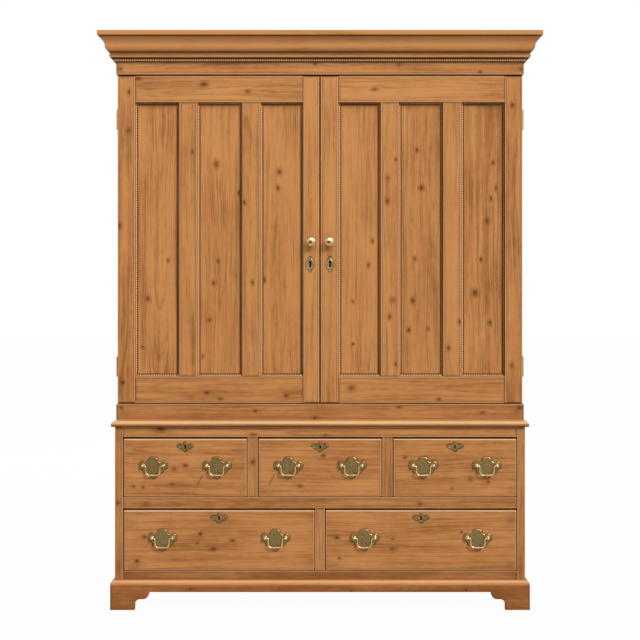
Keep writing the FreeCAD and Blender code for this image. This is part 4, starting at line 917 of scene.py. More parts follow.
def pierced_plate(shell, outer, inner, place, thickness, rim):
    """A plate with a hole: a closed loop of rings from the hole's edge to the outline and back behind it.

    Both outlines are read at the same even angles, so a ring is a share of the way from one to the other.
    """
    width = outer - inner
    lengths = np.maximum(np.linalg.norm(width, axis=1), 1e-6)
    raised = ((0.0, 0.0), (0.0, 0.75), (0.12, 0.95), (0.5, 0.95))
    rings = [(inner + width * share, depth * thickness) for share, depth in raised]
    for inset, depth in ((1.5, 0.75), (0.9, 1.0), (0.5, 0.85), (0.0, 0.35), (0.0, 0.0)):
        share = np.clip(1 - inset * rim / lengths, 0.55, 1.0)
        rings.append((inner + width * share[:, None], depth * thickness))
    local = np.concatenate([flat for flat, depth in rings])
    ring_loop(shell, rings, place, np.column_stack([local, np.full(len(local), FAR)]))


def tube(shell, outer, inner, place, length):
    """A bar with a hole right through: outer and inner outlines of the same count, at both ends."""
    ring_loop(shell, [(outer, 0.0), (outer, length), (inner, length), (inner, 0.0)], place)


def at_angles(outline, number):
    """An outline at even angles round its middle, found by sorting its points' angles."""
    dense = []
    closed = np.concatenate([outline, outline[:1]])
    share = np.linspace(0, 1, 12, endpoint=False)[:, None]
    for start, end in zip(closed[:-1], closed[1:]):
        dense.append(start + (end - start) * share)
    dense = np.concatenate(dense)
    angle = np.arctan2(dense[:, 1], dense[:, 0])
    order = np.argsort(angle)
    radius = np.hypot(dense[:, 0], dense[:, 1])[order]
    wanted = -math.pi + 2 * math.pi * (np.arange(number) + 0.5) / number
    found = np.interp(wanted, angle[order], radius, period=2 * math.pi)
    return np.stack([np.cos(wanted), np.sin(wanted)], 1) * found[:, None]


def slab(shell, outline, place, thickness, axes=(0, 1, 2)):
    """A flat piece: an outline, the same outline moved through the thickness, and walls between the two."""
    points = placed([(outline, 0.0), (outline, thickness)], place)
    index, quads = ring_quads(2, len(outline))
    shell.add(points, [quads, index[:1, ::-1], index[-1:]], (points - points.mean(0))[:, list(axes)])


# Finishes


class Term:
    """A number in a finish. Plus, minus, times, over and abs make Math nodes."""

    def __init__(self, bench, socket):
        self.bench = bench
        self.socket = socket

    def __add__(self, other):
        return self.bench.sum("ADD", self, other)

    def __radd__(self, other):
        return self.bench.sum("ADD", other, self)

    def __sub__(self, other):
        return self.bench.sum("SUBTRACT", self, other)

    def __rsub__(self, other):
        return self.bench.sum("SUBTRACT", other, self)

    def __mul__(self, other):
        return self.bench.sum("MULTIPLY", self, other)

    def __truediv__(self, other):
        return self.bench.sum("DIVIDE", self, other)

    def __abs__(self):
        return self.bench.sum("ABSOLUTE", self)


class Bench:
    """Adds shader nodes to one tree, so that a finish reads as a list of sums."""

    def __init__(self, tree):
        self.tree = tree

    def feed(self, socket, value):
        """Joins a socket to a term or another socket, or gives it a plain value."""
        if isinstance(value, Term):
            value = value.socket
        if isinstance(value, bpy.types.NodeSocket):
            self.tree.links.new(value, socket)
        else:
            socket.default_value = value

    def node(self, kind, *values, **settings):
        """A node with its settings, and with values in its first sockets."""
        node = self.tree.nodes.new(kind)
        for label, setting in settings.items():
            setattr(node, label, setting)
        for socket, value in zip(node.inputs, values):
            self.feed(socket, value)
        return node

    def sum(self, operation, *values):
        """One Math node."""
        return Term(self, self.node("ShaderNodeMath", *values, operation=operation).outputs[0])

    def vector(self, operation, first, second):
        """One Vector Math node."""
        return self.node("ShaderNodeVectorMath", first, second, operation=operation).outputs["Vector"]

    def length(self, x, y):
        """The length of a flat vector."""
        node = self.node("ShaderNodeVectorMath", self.join(x, y, 0.0), operation="LENGTH")
        return Term(self, node.outputs["Value"])

    def split(self, value):
        """The three parts of a vector."""
        return [Term(self, part) for part in self.node("ShaderNodeSeparateXYZ", value).outputs]

    def join(self, x, y, z):
        """A vector from its three parts."""
        return self.node("ShaderNodeCombineXYZ", x, y, z).outputs[0]

    def noise(self, place, stretch=None, detail=2.0, rough=0.5):
        """Smooth noise about a half, in a place multiplied by a stretch."""
        node = self.node("ShaderNodeTexNoise")
        node.inputs["Scale"].default_value = 1.0
        node.inputs["Detail"].default_value = detail
        node.inputs["Roughness"].default_value = rough
        if stretch is not None:
            place = self.vector("MULTIPLY", place, stretch)
        self.feed(node.inputs["Vector"], place)
        return Term(self, node.outputs[0])

    def ramp(self, value, low, high, start=0.0, end=1.0):
        """A smooth step between two values."""
        values = (value, low, high, start, end)
        node = self.node("ShaderNodeMapRange", *values, interpolation_type="SMOOTHSTEP")
        return Term(self, node.outputs[0])

    def mix(self, factor, first, second):
        """One colour over another."""
        node = self.node("ShaderNodeMix", data_type="RGBA")
        sockets = {socket.identifier: socket for socket in node.inputs}
        self.feed(sockets["Factor_Float"], factor)
        self.feed(sockets["A_Color"], first)
        self.feed(sockets["B_Color"], second)
        return [socket for socket in node.outputs if socket.identifier == "Result_Color"][0]

    def attribute(self, name, part="Vector"):
        """A value kept on the mesh."""
        return self.node("ShaderNodeAttribute", attribute_name=name).outputs[part]

    def own_place(self):
        """The place in the piece's own coordinates."""
        return self.node("ShaderNodeTexCoord").outputs["Object"]

    def bump(self, height, strength, distance):
        """The surface's direction, bent by a height."""
        node = self.node("ShaderNodeBump")
        node.inputs["Strength"].default_value = strength
        node.inputs["Distance"].default_value = distance
        self.feed(node.inputs["Height"], height)
        return node.outputs["Normal"]


def opaque(colour):
    """A colour with its fourth part."""
    return (colour[0], colour[1], colour[2], 1.0)


def new_tree(name, inputs, outputs):
    """A shader group with named sockets."""
    tree = bpy.data.node_groups.new(name, "ShaderNodeTree")
    for way, sockets in (("INPUT", inputs), ("OUTPUT", outputs)):
        for label, kind in sockets:
            tree.interface.new_socket(label, in_out=way, socket_type="NodeSocket" + kind)
    return tree, tree.nodes.new("NodeGroupInput").outputs, tree.nodes.new("NodeGroupOutput").inputs


def pine_group(sizes):
    """The pine's figure.

    A growth ring is the distance from the tree's heart, over the ring width. The heart runs along the board,
    behind its face, and leans. Near a knot the grain parts: its place across is drawn towards the knot's
    middle by a bell curve. Streaks and fibres are noise stretched along the grain. Dirt lies towards a
    board's ends and sides; on a worn broad face its very sides carry a painted highlight and its ends have a
    dark joint. The soil and shade kept on the mesh darkens the wood as dirt and painted shade, and below
    nothing brightens it as wear and a painted highlight.
    """
    tree, given, result = new_tree(
        "pine_figure",
        [("Grain", "Vector"), ("Reach", "Vector"), ("Board", "Vector"), ("Knot", "Vector"), ("Soil", "Float"),
         ("Light", "Color"), ("Dark", "Color"), ("Heart", "Color"), ("Dirt_and_shade", "Color"), ("Wear", "Float")],
        [("Colour", "Color"), ("Height", "Float"), ("Shine", "Float")])
    b = Bench(tree)
    pale = given["Light"]
    late = given["Dark"]
    dirt_and_shade_colour = given["Dirt_and_shade"]
    soil = Term(b, given["Soil"])
    wear = Term(b, given["Wear"])
    along, across, deep = b.split(given["Grain"])
    reach_along, reach_across, reach_deep = b.split(given["Reach"])
    seed, light, red = b.split(given["Board"])
    knot_along, knot_across, knot_size = b.split(given["Knot"])
    far = along + seed * 7.31
    place = b.join(far, across + seed, deep)

    size = b.sum("MAXIMUM", knot_size, 0.1 * MM)
    from_along = (along - knot_along) / size
    from_across = (across - knot_across) / size
    wobble = b.noise(place, (230.0, 230.0, 230.0), 1.0)
    strong = b.sum("FRACT", (knot_along + knot_across) * 777.7)
    drawn = 1.05 + b.sum("FRACT", strong * 7.3) * 0.9
    spread = b.length(from_along / drawn, from_across) * (0.50 + wobble)
    bell_along = b.sum("POWER", abs(from_along / 3.6), 2.0)
    bell_across = b.sum("POWER", abs(from_across / 2.2), 2.0)
    bell = b.sum("EXPONENT", (bell_along + bell_across) * -1.0)
    draw = from_across * size * bell * -0.8

    slow = b.noise(place, (1.7, 5.0, 5.0))
    bent = across + draw + (slow - 0.5) * 0.034
    heart_across = (b.sum("FRACT", seed * 5.137) - 0.5) * reach_across * 1.5
    lean = (b.sum("FRACT", seed * 3.3) - 0.5) * 0.05
    drift = b.noise(b.join(far * 1.1, seed, 0.0), detail=1.0)
    heart_depth = (b.sum("FRACT", seed * 9.71) * 0.05 + 0.006) + (along * lean + drift * 0.05)
    radius = b.length(bent - b.sum("MINIMUM", heart_across, 0.2), deep + heart_depth)
    rings = radius / sizes.ring_width
    turn = b.sum("FRACT", rings)
    each = b.noise(b.join(b.sum("FLOOR", rings) * 0.731, far * 2.0, seed), detail=1.0)
    line = b.ramp(turn, 0.35, 0.86) * b.ramp(turn, 0.88, 1.0, 1.0, 0.0) * b.ramp(each, 0.32, 0.68, 0.15, 1.0)

    flow = b.join(far, bent + seed, deep)
    streak = b.noise(flow, (1.8, 105.0, 105.0), 4.0, 0.68)
    fibre = b.noise(flow, (16.0, 620.0, 620.0))
    cloud = b.noise(place, (3.2, 9.0, 9.0))
    mottle = b.noise(place, (26.0, 64.0, 64.0), 3.0, 0.6)
    share = line * 0.30 + (streak - 0.42) * 1.90 + (fibre - 0.5) * 0.40
    share = share + (cloud - 0.5) * 1.35 + (mottle - 0.5) * 0.7 - light * 0.45
    wood = b.mix(b.ramp(share, -0.35, 1.15), pale, late)
    warm = b.noise(b.vector("ADD", place, (3.1, 1.7, 0.4)), (9.0, 22.0, 22.0))
    wood = b.mix((red + 0.5) * 0.10, wood, (0.42, 0.13, 0.04, 1.0))
    wood = b.mix(b.ramp(warm, 0.52, 0.72, 0.0, 0.18), wood, (0.55, 0.16, 0.055, 1.0))
    wood = b.mix(b.ramp(warm, 0.48, 0.28, 0.0, 0.20), wood, (0.50, 0.28, 0.07, 1.0))

    present = b.sum("GREATER_THAN", knot_size, 0.5 * MM)
    halo = b.ramp(spread, 0.7, 2.5, 1.0, 0.0) * present
    core = b.ramp(spread, 0.55, 1.0, 1.0, 0.0) * present
    eyes = b.sum("SINE", spread * 15.0)
    heart = b.mix(b.ramp(eyes, -1.0, 1.0, 0.05, 0.45), given["Heart"], late)
    wood = b.mix(halo * (strong * 0.25 + 0.35), wood, late)
    wood = b.mix(halo * 0.12, wood, (0.30, 0.07, 0.02, 1.0))
    wood = b.mix(core * (strong * 0.45 + 0.45), wood, heart)

    end = reach_along - abs(along)
    side = reach_across - abs(across)
    ragged = b.sum("MINIMUM", end, side) + (cloud - 0.5) * 0.020
    edge = b.ramp(ragged, 0.0, 11.0 * MM, 1.0, 0.0)
    worn = b.ramp(reach_deep - abs(deep), 1.0 * MM, 2.2 * MM, 1.0, 0.0) * wear
    # A painted highlight along the very sides of a worn broad face
    beside = b.ramp(side, 2.6 * MM, 4.6 * MM, 1.0, 0.0) * worn
    patch = b.noise(place, (7.0, 16.0, 16.0), 4.0, 0.65)
    grime = edge * 0.36 * wear * (1.0 - beside * 0.9) + b.ramp(patch, 0.60, 0.80) * 0.16
    wood = b.mix(beside * 0.34, wood, b.mix(0.4, pale, (1.0, 0.68, 0.38, 1.0)))
    # Soil and shade below nothing: wear and a painted highlight, towards a pale cream
    rubbed = b.sum("MAXIMUM", soil * -1.0, 0.0)
    wood = b.mix(rubbed, wood, b.mix(0.80, pale, (1.0, 0.65, 0.35, 1.0)))
    joint = b.ramp(end, 1.4 * MM, 2.7 * MM, 0.85, 0.0) * worn * b.ramp(rubbed, 0.4, 0.8, 1.0, 0.0)
    wood = b.mix(joint, wood, dirt_and_shade_colour)
    # Dirt and the painted shade in the soil and shade, towards the dirt colour
    dirt_and_shade = b.sum("MAXIMUM", grime, soil * 0.95)
    wood = b.mix(dirt_and_shade, wood, dirt_and_shade_colour)
    spot = b.noise(place, (120.0, 210.0, 210.0))
    wood = b.mix(b.ramp(spot, 0.74, 0.80, 0.0, 0.45), wood, dirt_and_shade_colour)

    b.feed(result["Colour"], wood)
    b.feed(result["Height"], line * 0.35 + fibre * 0.45 - core * 0.4)
    b.feed(result["Shine"], 0.44 + (patch - 0.5) * 0.25 + dirt_and_shade * 0.2)
    return tree


def new_material(name):
    """A material with one Principled shader."""
    material = bpy.data.materials.new(name)
    material.use_nodes = True
    return material, Bench(material.node_tree), material.node_tree.nodes["Principled BSDF"]


def pine_material(name, group, light, dark, colours, wear, fixed=None, polish=0.04):
    """Waxed or bare pine. It reads the boards' own grain, or with fixed the piece's own place along Y."""
    b, shader = new_material(name)[1:]
    node = b.node("ShaderNodeGroup", node_tree=group)
    if fixed is None:
        for label in ("Grain", "Reach", "Board", "Knot"):
            b.feed(node.inputs[label], b.attribute(label.lower()))
        b.feed(node.inputs["Soil"], b.attribute("soil", "Fac"))
    else:
        x, y, z = b.split(b.own_place())
        b.feed(node.inputs["Grain"], b.join(y, x, z))
        b.feed(node.inputs["Reach"], (FAR, 0.2, FAR))
        b.feed(node.inputs["Board"], (fixed, 0.0, 0.0))
    b.feed(node.inputs["Light"], opaque(light))
    b.feed(node.inputs["Dark"], opaque(dark))
    b.feed(node.inputs["Heart"], opaque(colours.knot))
    b.feed(node.inputs["Dirt_and_shade"], opaque(colours.soil))
    b.feed(node.inputs["Wear"], wear)
    b.feed(shader.inputs["Base Color"], node.outputs["Colour"])
    b.feed(shader.inputs["Roughness"], node.outputs["Shine"])
    b.feed(shader.inputs["Normal"], b.bump(node.outputs["Height"], 0.35, 0.4 * MM))
    b.feed(shader.inputs["Specular IOR Level"], 0.14)
    b.feed(shader.inputs["Coat Weight"], polish)
    b.feed(shader.inputs["Coat Roughness"], 0.35)


def brass_material(name, bright, dull, share, rough, engraved=False):
    """Old brass: rubbed metal over a dull film that noise in the piece's own place spreads unevenly.

    Engraved, it also has two lines that follow the rim, and inside them wavy hatching. The lines and the
    hatching are lost in a dark ring round each post, a painted shadow. Towards the rim the dull film thins:
    wear and a painted highlight.
    """
    b, shader = new_material(name)[1:]
    place = b.own_place()
    film = b.noise(place, (70.0, 70.0, 70.0), 4.0, 0.6)
    specks = b.noise(place, (600.0, 600.0, 600.0))
    cover = b.ramp(film + specks * 0.25, 0.72 - share, 1.02 - share * 0.5)
    height = specks * 0.3
    if engraved:
        local = b.attribute("grain")
        x, z, inward = b.split(local)
        first = b.ramp(abs(inward - 3.2 * MM), 0.3 * MM, 0.7 * MM, 1.0, 0.0)
        second = b.ramp(abs(inward - 5.2 * MM), 0.2 * MM, 0.5 * MM, 1.0, 0.0)
        swirl = b.noise(local, (75.0, 75.0, 0.0), 1.0)
        waves = b.sum("SINE", (x + z) * 560.0 + swirl * 12.0)
        hatch = b.ramp(waves, -0.2, 0.7) * b.ramp(inward, 5.0 * MM, 6.5 * MM)
        cut = b.sum("MAXIMUM", b.sum("MAXIMUM", first, second), hatch * 0.9)
        # A dark ring round each post: painted shadow
        beside = b.length(abs(x) - POST_SPACING / 2, z)
        cut = b.sum("MAXIMUM", cut, b.ramp(beside, 7.0 * MM, 12.0 * MM, 1.0, 0.0))
        # Less dull film towards the rim: wear and a painted highlight
        cover = (cover * 0.35 + cut * 0.62) * b.ramp(inward, 0.2 * MM, 1.8 * MM, 0.35, 1.0)
        height = height - cut * 1.2
    b.feed(shader.inputs["Base Color"], b.mix(cover, opaque(bright), opaque(dull)))
    b.feed(shader.inputs["Roughness"], rough + cover * 0.22)
    b.feed(shader.inputs["Metallic"], 1.0)
    b.feed(shader.inputs["Normal"], b.bump(height, 0.4, 0.3 * MM))


def black_material():
    """A near-black sheet behind a keyhole: painted shade for the lock's dark inside, with dust."""
    b, shader = new_material("keyhole_dark")[1:]
    dust = b.noise(b.own_place(), (300.0, 300.0, 300.0))
    b.feed(shader.inputs["Base Color"], b.mix(dust, (0.001, 0.001, 0.001, 1), (0.005, 0.004, 0.003, 1)))
    b.feed(shader.inputs["Roughness"], 0.9)
    b.feed(shader.inputs["Specular IOR Level"], 0.0)


def make_finishes():
    """Every finish of the press by name."""
    colours = bpy.context.scene.press_colours
    group = pine_group(bpy.context.scene.press_sizes)
    light = np.array(colours.pine_light)
    dark = np.array(colours.pine_dark)
    inside = np.array(colours.pine_inside)
    inside_dark = inside * np.array([0.66, 0.55, 0.42])
    ruddy = np.array([1.0, 0.96, 0.95])
    brass = np.array(colours.brass)
    aged = np.array(colours.brass_aged)
    pine_material("waxed_pine", group, light, dark, colours, 1.0)
    pine_material("waxed_pine_doors", group, light * 1.05, dark, colours, 1.0)
    pine_material("waxed_pine_drawers", group, light * 1.03, dark, colours, 0.8)
    pine_material("waxed_pine_plinth", group, light * ruddy, dark * ruddy, colours, 1.0)
    pine_material("bare_pine", group, inside, inside_dark, colours, 0.3, polish=0.0)
    pine_material("bare_pine_runners", group, inside, inside_dark, colours, 0.0, fixed=3.1, polish=0.0)
    brass_material("engraved_brass", aged, aged * 0.30, 0.18, 0.36, engraved=True)
    brass_material("rubbed_brass", brass, aged, 0.10, 0.24)
    brass_material("worn_brass", brass * 0.85, aged * 0.6, 0.05, 0.34)
    brass_material("dull_brass", aged, aged * 0.30, 0.10, 0.40)
    black_material()


# Measures read from the frame


def corners(node):
    """A CAD node's lowest and highest corner as arrays."""
    low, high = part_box(node)
    return np.array(low), np.array(high)


def drawer_opening(number):
    """A drawer's opening as (x0, x1, z0, z1), from its front and the gaps round it."""
    low, high = corners("drawer_" + str(number) + "_front")
    return low[0] - GAP_SIDE, high[0] + GAP_SIDE, low[2] - GAP_BOTTOM, high[2] + GAP_TOP


def box_of(x0, x1, y0, y1, z0, z1):
    """Two corners from six bounds."""
    low = np.array([min(x0, x1), min(y0, y1), min(z0, z1)])
    high = np.array([max(x0, x1), max(y0, y1), max(z0, z1)])
    return low, high


def both_ends(low, high, thickness, axis=0):
    """Where two boards of a thickness lie, at the low and at the high end of an axis."""
    return (low[axis], low[axis] + thickness), (high[axis] - thickness, high[axis])


def case_board(shell, bounds, along, edge, group=None, wild=6.0, **options):
    """A board with strewn knots, or with the photograph's own and tiny strewn ones where it has a group."""
    low, high = box_of(*bounds)
    found = seen_knots(group, low, high, along) if group else []
    largest = LARGEST_SPECK if group else LARGEST_WILD
    strewn = wild_knots(low, high, along, shell.seed, wild, SMALLEST_KNOT, largest)
    if group:
        # Case boards: wear and a painted highlight on the arrises, painted shade on the walls in the gaps
        options = {"rub": CASE_WEAR_AND_HIGHLIGHT, "grimy": CASE_GAP_SHADE, "deep": 1, **options}
        stains_and_shade = [smudged(group, low[1])] + ([options["stain"]] if "stain" in options else [])
        options["stain"] = summed(*stains_and_shade)
    board(shell, low, high, along, edge, found + strewn, **options)


def boards_across(shell, node, axis, along, count, **options):
    """A node's box as equal boards side by side on an axis."""
    low, high = corners(node)
    width = (high[axis] - low[axis]) / count
    for index in range(count):
        start = low[axis] + index * width
        bounds = [low[0], high[0], low[1], high[1], low[2], high[2]]
        bounds[2 * axis:2 * axis + 2] = [start, start + width]
        case_board(shell, bounds, along, BACK_EDGE, **options)


def side_boards(shell, node, thickness, edge):
    """The two upright boards at the ends of a node's box."""
    low, high = corners(node)
    for x0, x1 in both_ends(low, high, thickness):
        case_board(shell, (x0, x1, low[1], high[1], low[2], high[2]), 2, edge, wild=12.0)


class PRESS_OT_finishes(bpy.types.Operator):
    """Makes the pine, brass and keyhole finishes"""

    bl_idname = "press.finishes"
    bl_label = "Finishes"

    def execute(self, context):
        make_finishes()
        return {"FINISHED"}


def crown_profile():
    """Outward and upward: a step, an ovolo, a hollow, then the fascia with eased edges."""
    reach = CROWN_REACH
    high = CROWN_HEIGHT
    eased = 2.0 * MM
    bend = eased * (1 - math.sqrt(0.5))
    fascia = high - FASCIA_HEIGHT
    return outline_points([
        (0.0, 0.0),
        (reach * 0.31, 0.0),
        (reach * 0.31, high * 0.073),
        ((reach * 0.52, high * 0.183), (reach * 0.60, high * 0.378)),
        ((reach * 0.71, high * 0.61), (reach * 0.928, high * 0.756)),
        (reach * 0.928, fascia),
        (reach - eased, fascia),
        ((reach - bend, fascia + bend), (reach, fascia + eased)),
        (reach, high - eased),
        ((reach - bend, high - bend), (reach - eased, high)),
        (0.0, high),
    ])


def bed_profile():
    """Outward and upward: a slope with a row of pearls, under a half round."""
    slope = BED_REACH - HALF_ROUND
    middle = BED_HEIGHT - HALF_ROUND
    rise = (middle - HALF_ROUND) / slope
    return outline_points([
        (0.0, 0.0),
        (slope * 0.29, slope * 0.29 * rise),
        ((slope * 0.62, slope * 0.24), (slope * 0.66, slope * 0.66 * rise)),
        (slope, middle - HALF_ROUND),
        ((BED_REACH, middle), (slope, BED_HEIGHT)),
        (0.0, BED_HEIGHT),
    ], 6)


class PRESS_OT_cornice(bpy.types.Operator):
    """Makes the crown and bed mouldings, the frieze behind them and the dust boards on top"""

    bl_idname = "press.cornice"
    bl_label = "Cornice"

    def execute(self, context):
        sizes = context.scene.press_sizes
        low, high = corners("frieze")
        half = high[0]
        front = low[1]
        back = high[1]
        crown_z = corners("cornice_crown")[0][2]
        bed_z = corners("cornice_bed")[0][2]

        # Soil and shade runs along the profile, point by point. On the crown it is painted shade on the lower
        # step, the ovolo's underside, the hollow's top and under the fascia; where it is below nothing it is
        # a painted highlight
        shell = Shell(1.0)
        profile = crown_profile()
        stain = np.zeros(len(profile))
        stain[0:3] = (0.9, 0.45, 0.45)
        stain[3:6] = (0.95, 0.45, 0.15)
        stain[15:18] = (0.0, 0.08, 0.25)
        stain[18:21] = 0.85
        stain[22:28] = 0.0
        three_runs(shell, profile, half, front, crown_z, back, CROWN_CELL, soil=stain, tint=(1.1, 0.0))
        shell.build("crown_moulding", "cornice_crown", "waxed_pine", "pine_case")

        shell = Shell(2.0)
        profile = bed_profile()
        # Painted shade by the pearls and on the half round's top, under the crown; a painted highlight below
        # it
        stain = np.zeros(len(profile))
        stain[0:2] = (0.6, 1.0)
        stain[7:9] = (1.0, 0.8)
        stain[9:12] = (-0.2, -0.5, 0.1)
        stain[12:16] = (0.30, 0.50, 0.60, 0.9)
        three_runs(shell, profile, half, front, bed_z, back, sizes.pearl_pitch, soil=stain,
                   pearls=(1, 7, sizes.pearl_pitch, PEARL_CROWN_HIGHLIGHT), tint=(0.2, 0.0))
        shell.build("bed_moulding", "cornice_bed", "waxed_pine", "pine_case")

        shell = Shell(3.0)
        four_boards(shell, low, high, sizes.board_edge, "frieze")
        shell.build("frieze_boards", "frieze", "waxed_pine", "pine_case")

        shell = Shell(4.0)
        boards_across(shell, "cornice_dust_boards", 1, 0, DUST_BOARDS)
        shell.build("dust_boards", "cornice_dust_boards", "bare_pine", "pine_inside")
        return {"FINISHED"}


def four_boards(shell, low, high, edge, group):
    """A frame of four boards on edge: front and back right across, sides between them."""
    t = FRAME_BOARD
    case_board(shell, (low[0], high[0], low[1], low[1] + t, low[2], high[2]), 0, edge, group,
               clean=((0, 0), (0, 1)))
    case_board(shell, (low[0], high[0], high[1] - t, high[1], low[2], high[2]), 0, edge)
    for x0, x1 in both_ends(low, high, t):
        case_board(shell, (x0, x1, low[1] + t, high[1] - t, low[2], high[2]), 1, edge)


class PRESS_OT_cupboard(bpy.types.Operator):
    """Makes the cupboard's sides, top, floor, shelves and back, and the frame under it"""

    bl_idname = "press.cupboard"
    bl_label = "Cupboard"

    def execute(self, context):
        edge = context.scene.press_sizes.board_edge
        shell = Shell(10.0)
        side_boards(shell, "cupboard_sides", CUPBOARD_SIDE, edge)
        shell.build("cupboard_side_boards", "cupboard_sides", "waxed_pine", "pine_case")

        shell = Shell(12.0)
        low, high = corners("cupboard_top_floor")
        rooms = (rod_mortise("door_left_bolt_bottom", 1), rod_mortise("door_left_bolt_top", 0))
        for (z0, z1), mortise in zip(both_ends(low, high, SHELF, 2), rooms):
            case_board(shell, (low[0], high[0], low[1], high[1], z0, z1), 0, FLOOR_EDGE, mortises=(mortise,))
        shell.build("cupboard_top_and_floor", "cupboard_top_floor", "bare_pine", "pine_inside")

        shell = Shell(14.0)
        side_low, side_high = corners("cupboard_sides")
        low, high = corners("cupboard_shelves")
        clear = side_high[2] - side_low[2] - 2 * SHELF - SHELVES * SHELF
        step = clear / (SHELVES + 1)
        for index in range(SHELVES):
            z0 = side_low[2] + SHELF + step * (index + 1) + SHELF * index
            case_board(shell, (low[0], high[0], low[1], high[1], z0, z0 + SHELF), 0, SHELF_EDGE)
            for x0, x1 in both_ends(low, high, BEARER_WIDTH):
                board(shell, *box_of(x0, x1, low[1], high[1], z0 - BEARER_HEIGHT, z0), 1, BEARER_EDGE)
        shell.build("shelves_and_bearers", "cupboard_shelves", "bare_pine", "pine_inside")

        shell = Shell(16.0)
        boards_across(shell, "cupboard_back", 0, 2, CUPBOARD_BACK_BOARDS, wild=14.0)
        shell.build("cupboard_back_boards", "cupboard_back", "bare_pine", "pine_inside")

        shell = Shell(18.0)
        low, high = corners("waist_frame")
        four_boards(shell, low, high, edge, "waist_frame")
        shell.build("waist_boards", "waist_frame", "waxed_pine", "pine_case")
        return {"FINISHED"}


def door_members(side):
    """A door's members across its width as (kind, x0, x1), and its front, back, foot and head."""
    low, high = corners("door_" + side + "_stiles")
    sign = -1 if side == "left" else 1
    outer = low[0] if side == "left" else high[0]
    width = high[0] - low[0]
    clear = width - HINGE_STILE - MEETING_STILE[side] - 2 * MUNTIN
    widths = [("stile", HINGE_STILE), ("panel", clear * PANEL_SHARES[0]), ("muntin", MUNTIN),
              ("panel", clear * PANEL_SHARES[1]), ("muntin", MUNTIN), ("panel", clear * PANEL_SHARES[2]),
              ("stile", MEETING_STILE[side])]
    members = []
    x = outer
    for kind, size in widths:
        inner = x - sign * size
        members.append((kind, min(x, inner), max(x, inner)))
        x = inner
    return members, low, high


def strip_profile():
    """Inward from the frame and forward from the panel: a low fillet by the panel, then a row of pearls."""
    wide = STRIP_WIDTH
    high = STRIP_HEIGHT
    return outline_points([
        (0.0, 0.0),
        (wide, 0.0),
        (wide, high * 0.24),
        (wide * 0.64, high * 0.26),
        ((wide * 0.35, high * 0.98), (wide * 0.07, high * 0.42)),
        (wide * 0.05, high * 0.90),
        (0.0, high * 0.90),
    ], 6)


def door_strips(shell, x0, x1, z0, z1, plane, pitch):
    """Four mitred pearl strips round a panel: painted light on the lower and left, painted shade on the rest.
    """
    profile = strip_profile()
    for sign in (1, -1):
        stain = np.zeros(len(profile))
        # Lower and left strips: a painted highlight on the flat beside the frame and on the pearl crowns, and
        # a lighter tint. Top and right strips: painted shade on that flat, duller crowns and a darker tint.
        # The fillet by the panel is darkened on all four.
        stain[0:4] = (0.5, 0.5, 0.8, 1.0) if sign > 0 else 0.5
        stain[10:12] = -0.3 if sign > 0 else 0.85
        light = 0.9 if sign > 0 else -1.2
        swell = (3, 9, pitch, 1.1 if sign > 0 else 0.2)
        strip(shell, profile, x0, x1, 0, sign, z0 if sign > 0 else z1, plane, pitch, stain, swell, light)
        strip(shell, profile, z0, z1, 2, sign, x0 if sign > 0 else x1, plane, pitch, stain, swell, light)


def strip(shell, profile, start, end, run, sign, edge, plane, pitch, stain, swell, light):
    """One strip along X or Z: inward is the other upright axis, forward is towards the front."""
    inward = 2 if run == 0 else 0
    base = np.zeros(3)
    base[inward] = edge
    base[1] = plane
    into = np.zeros(3)
    into[inward] = sign
    backward = profile * np.array([1.0, -1.0])
    moulding(shell, backward, start, end, run, into, base, (1, -1), pearl_cells(start, end, pitch),
             soil=stain, pearls=swell, upward=1, tint=(light, 0.1))


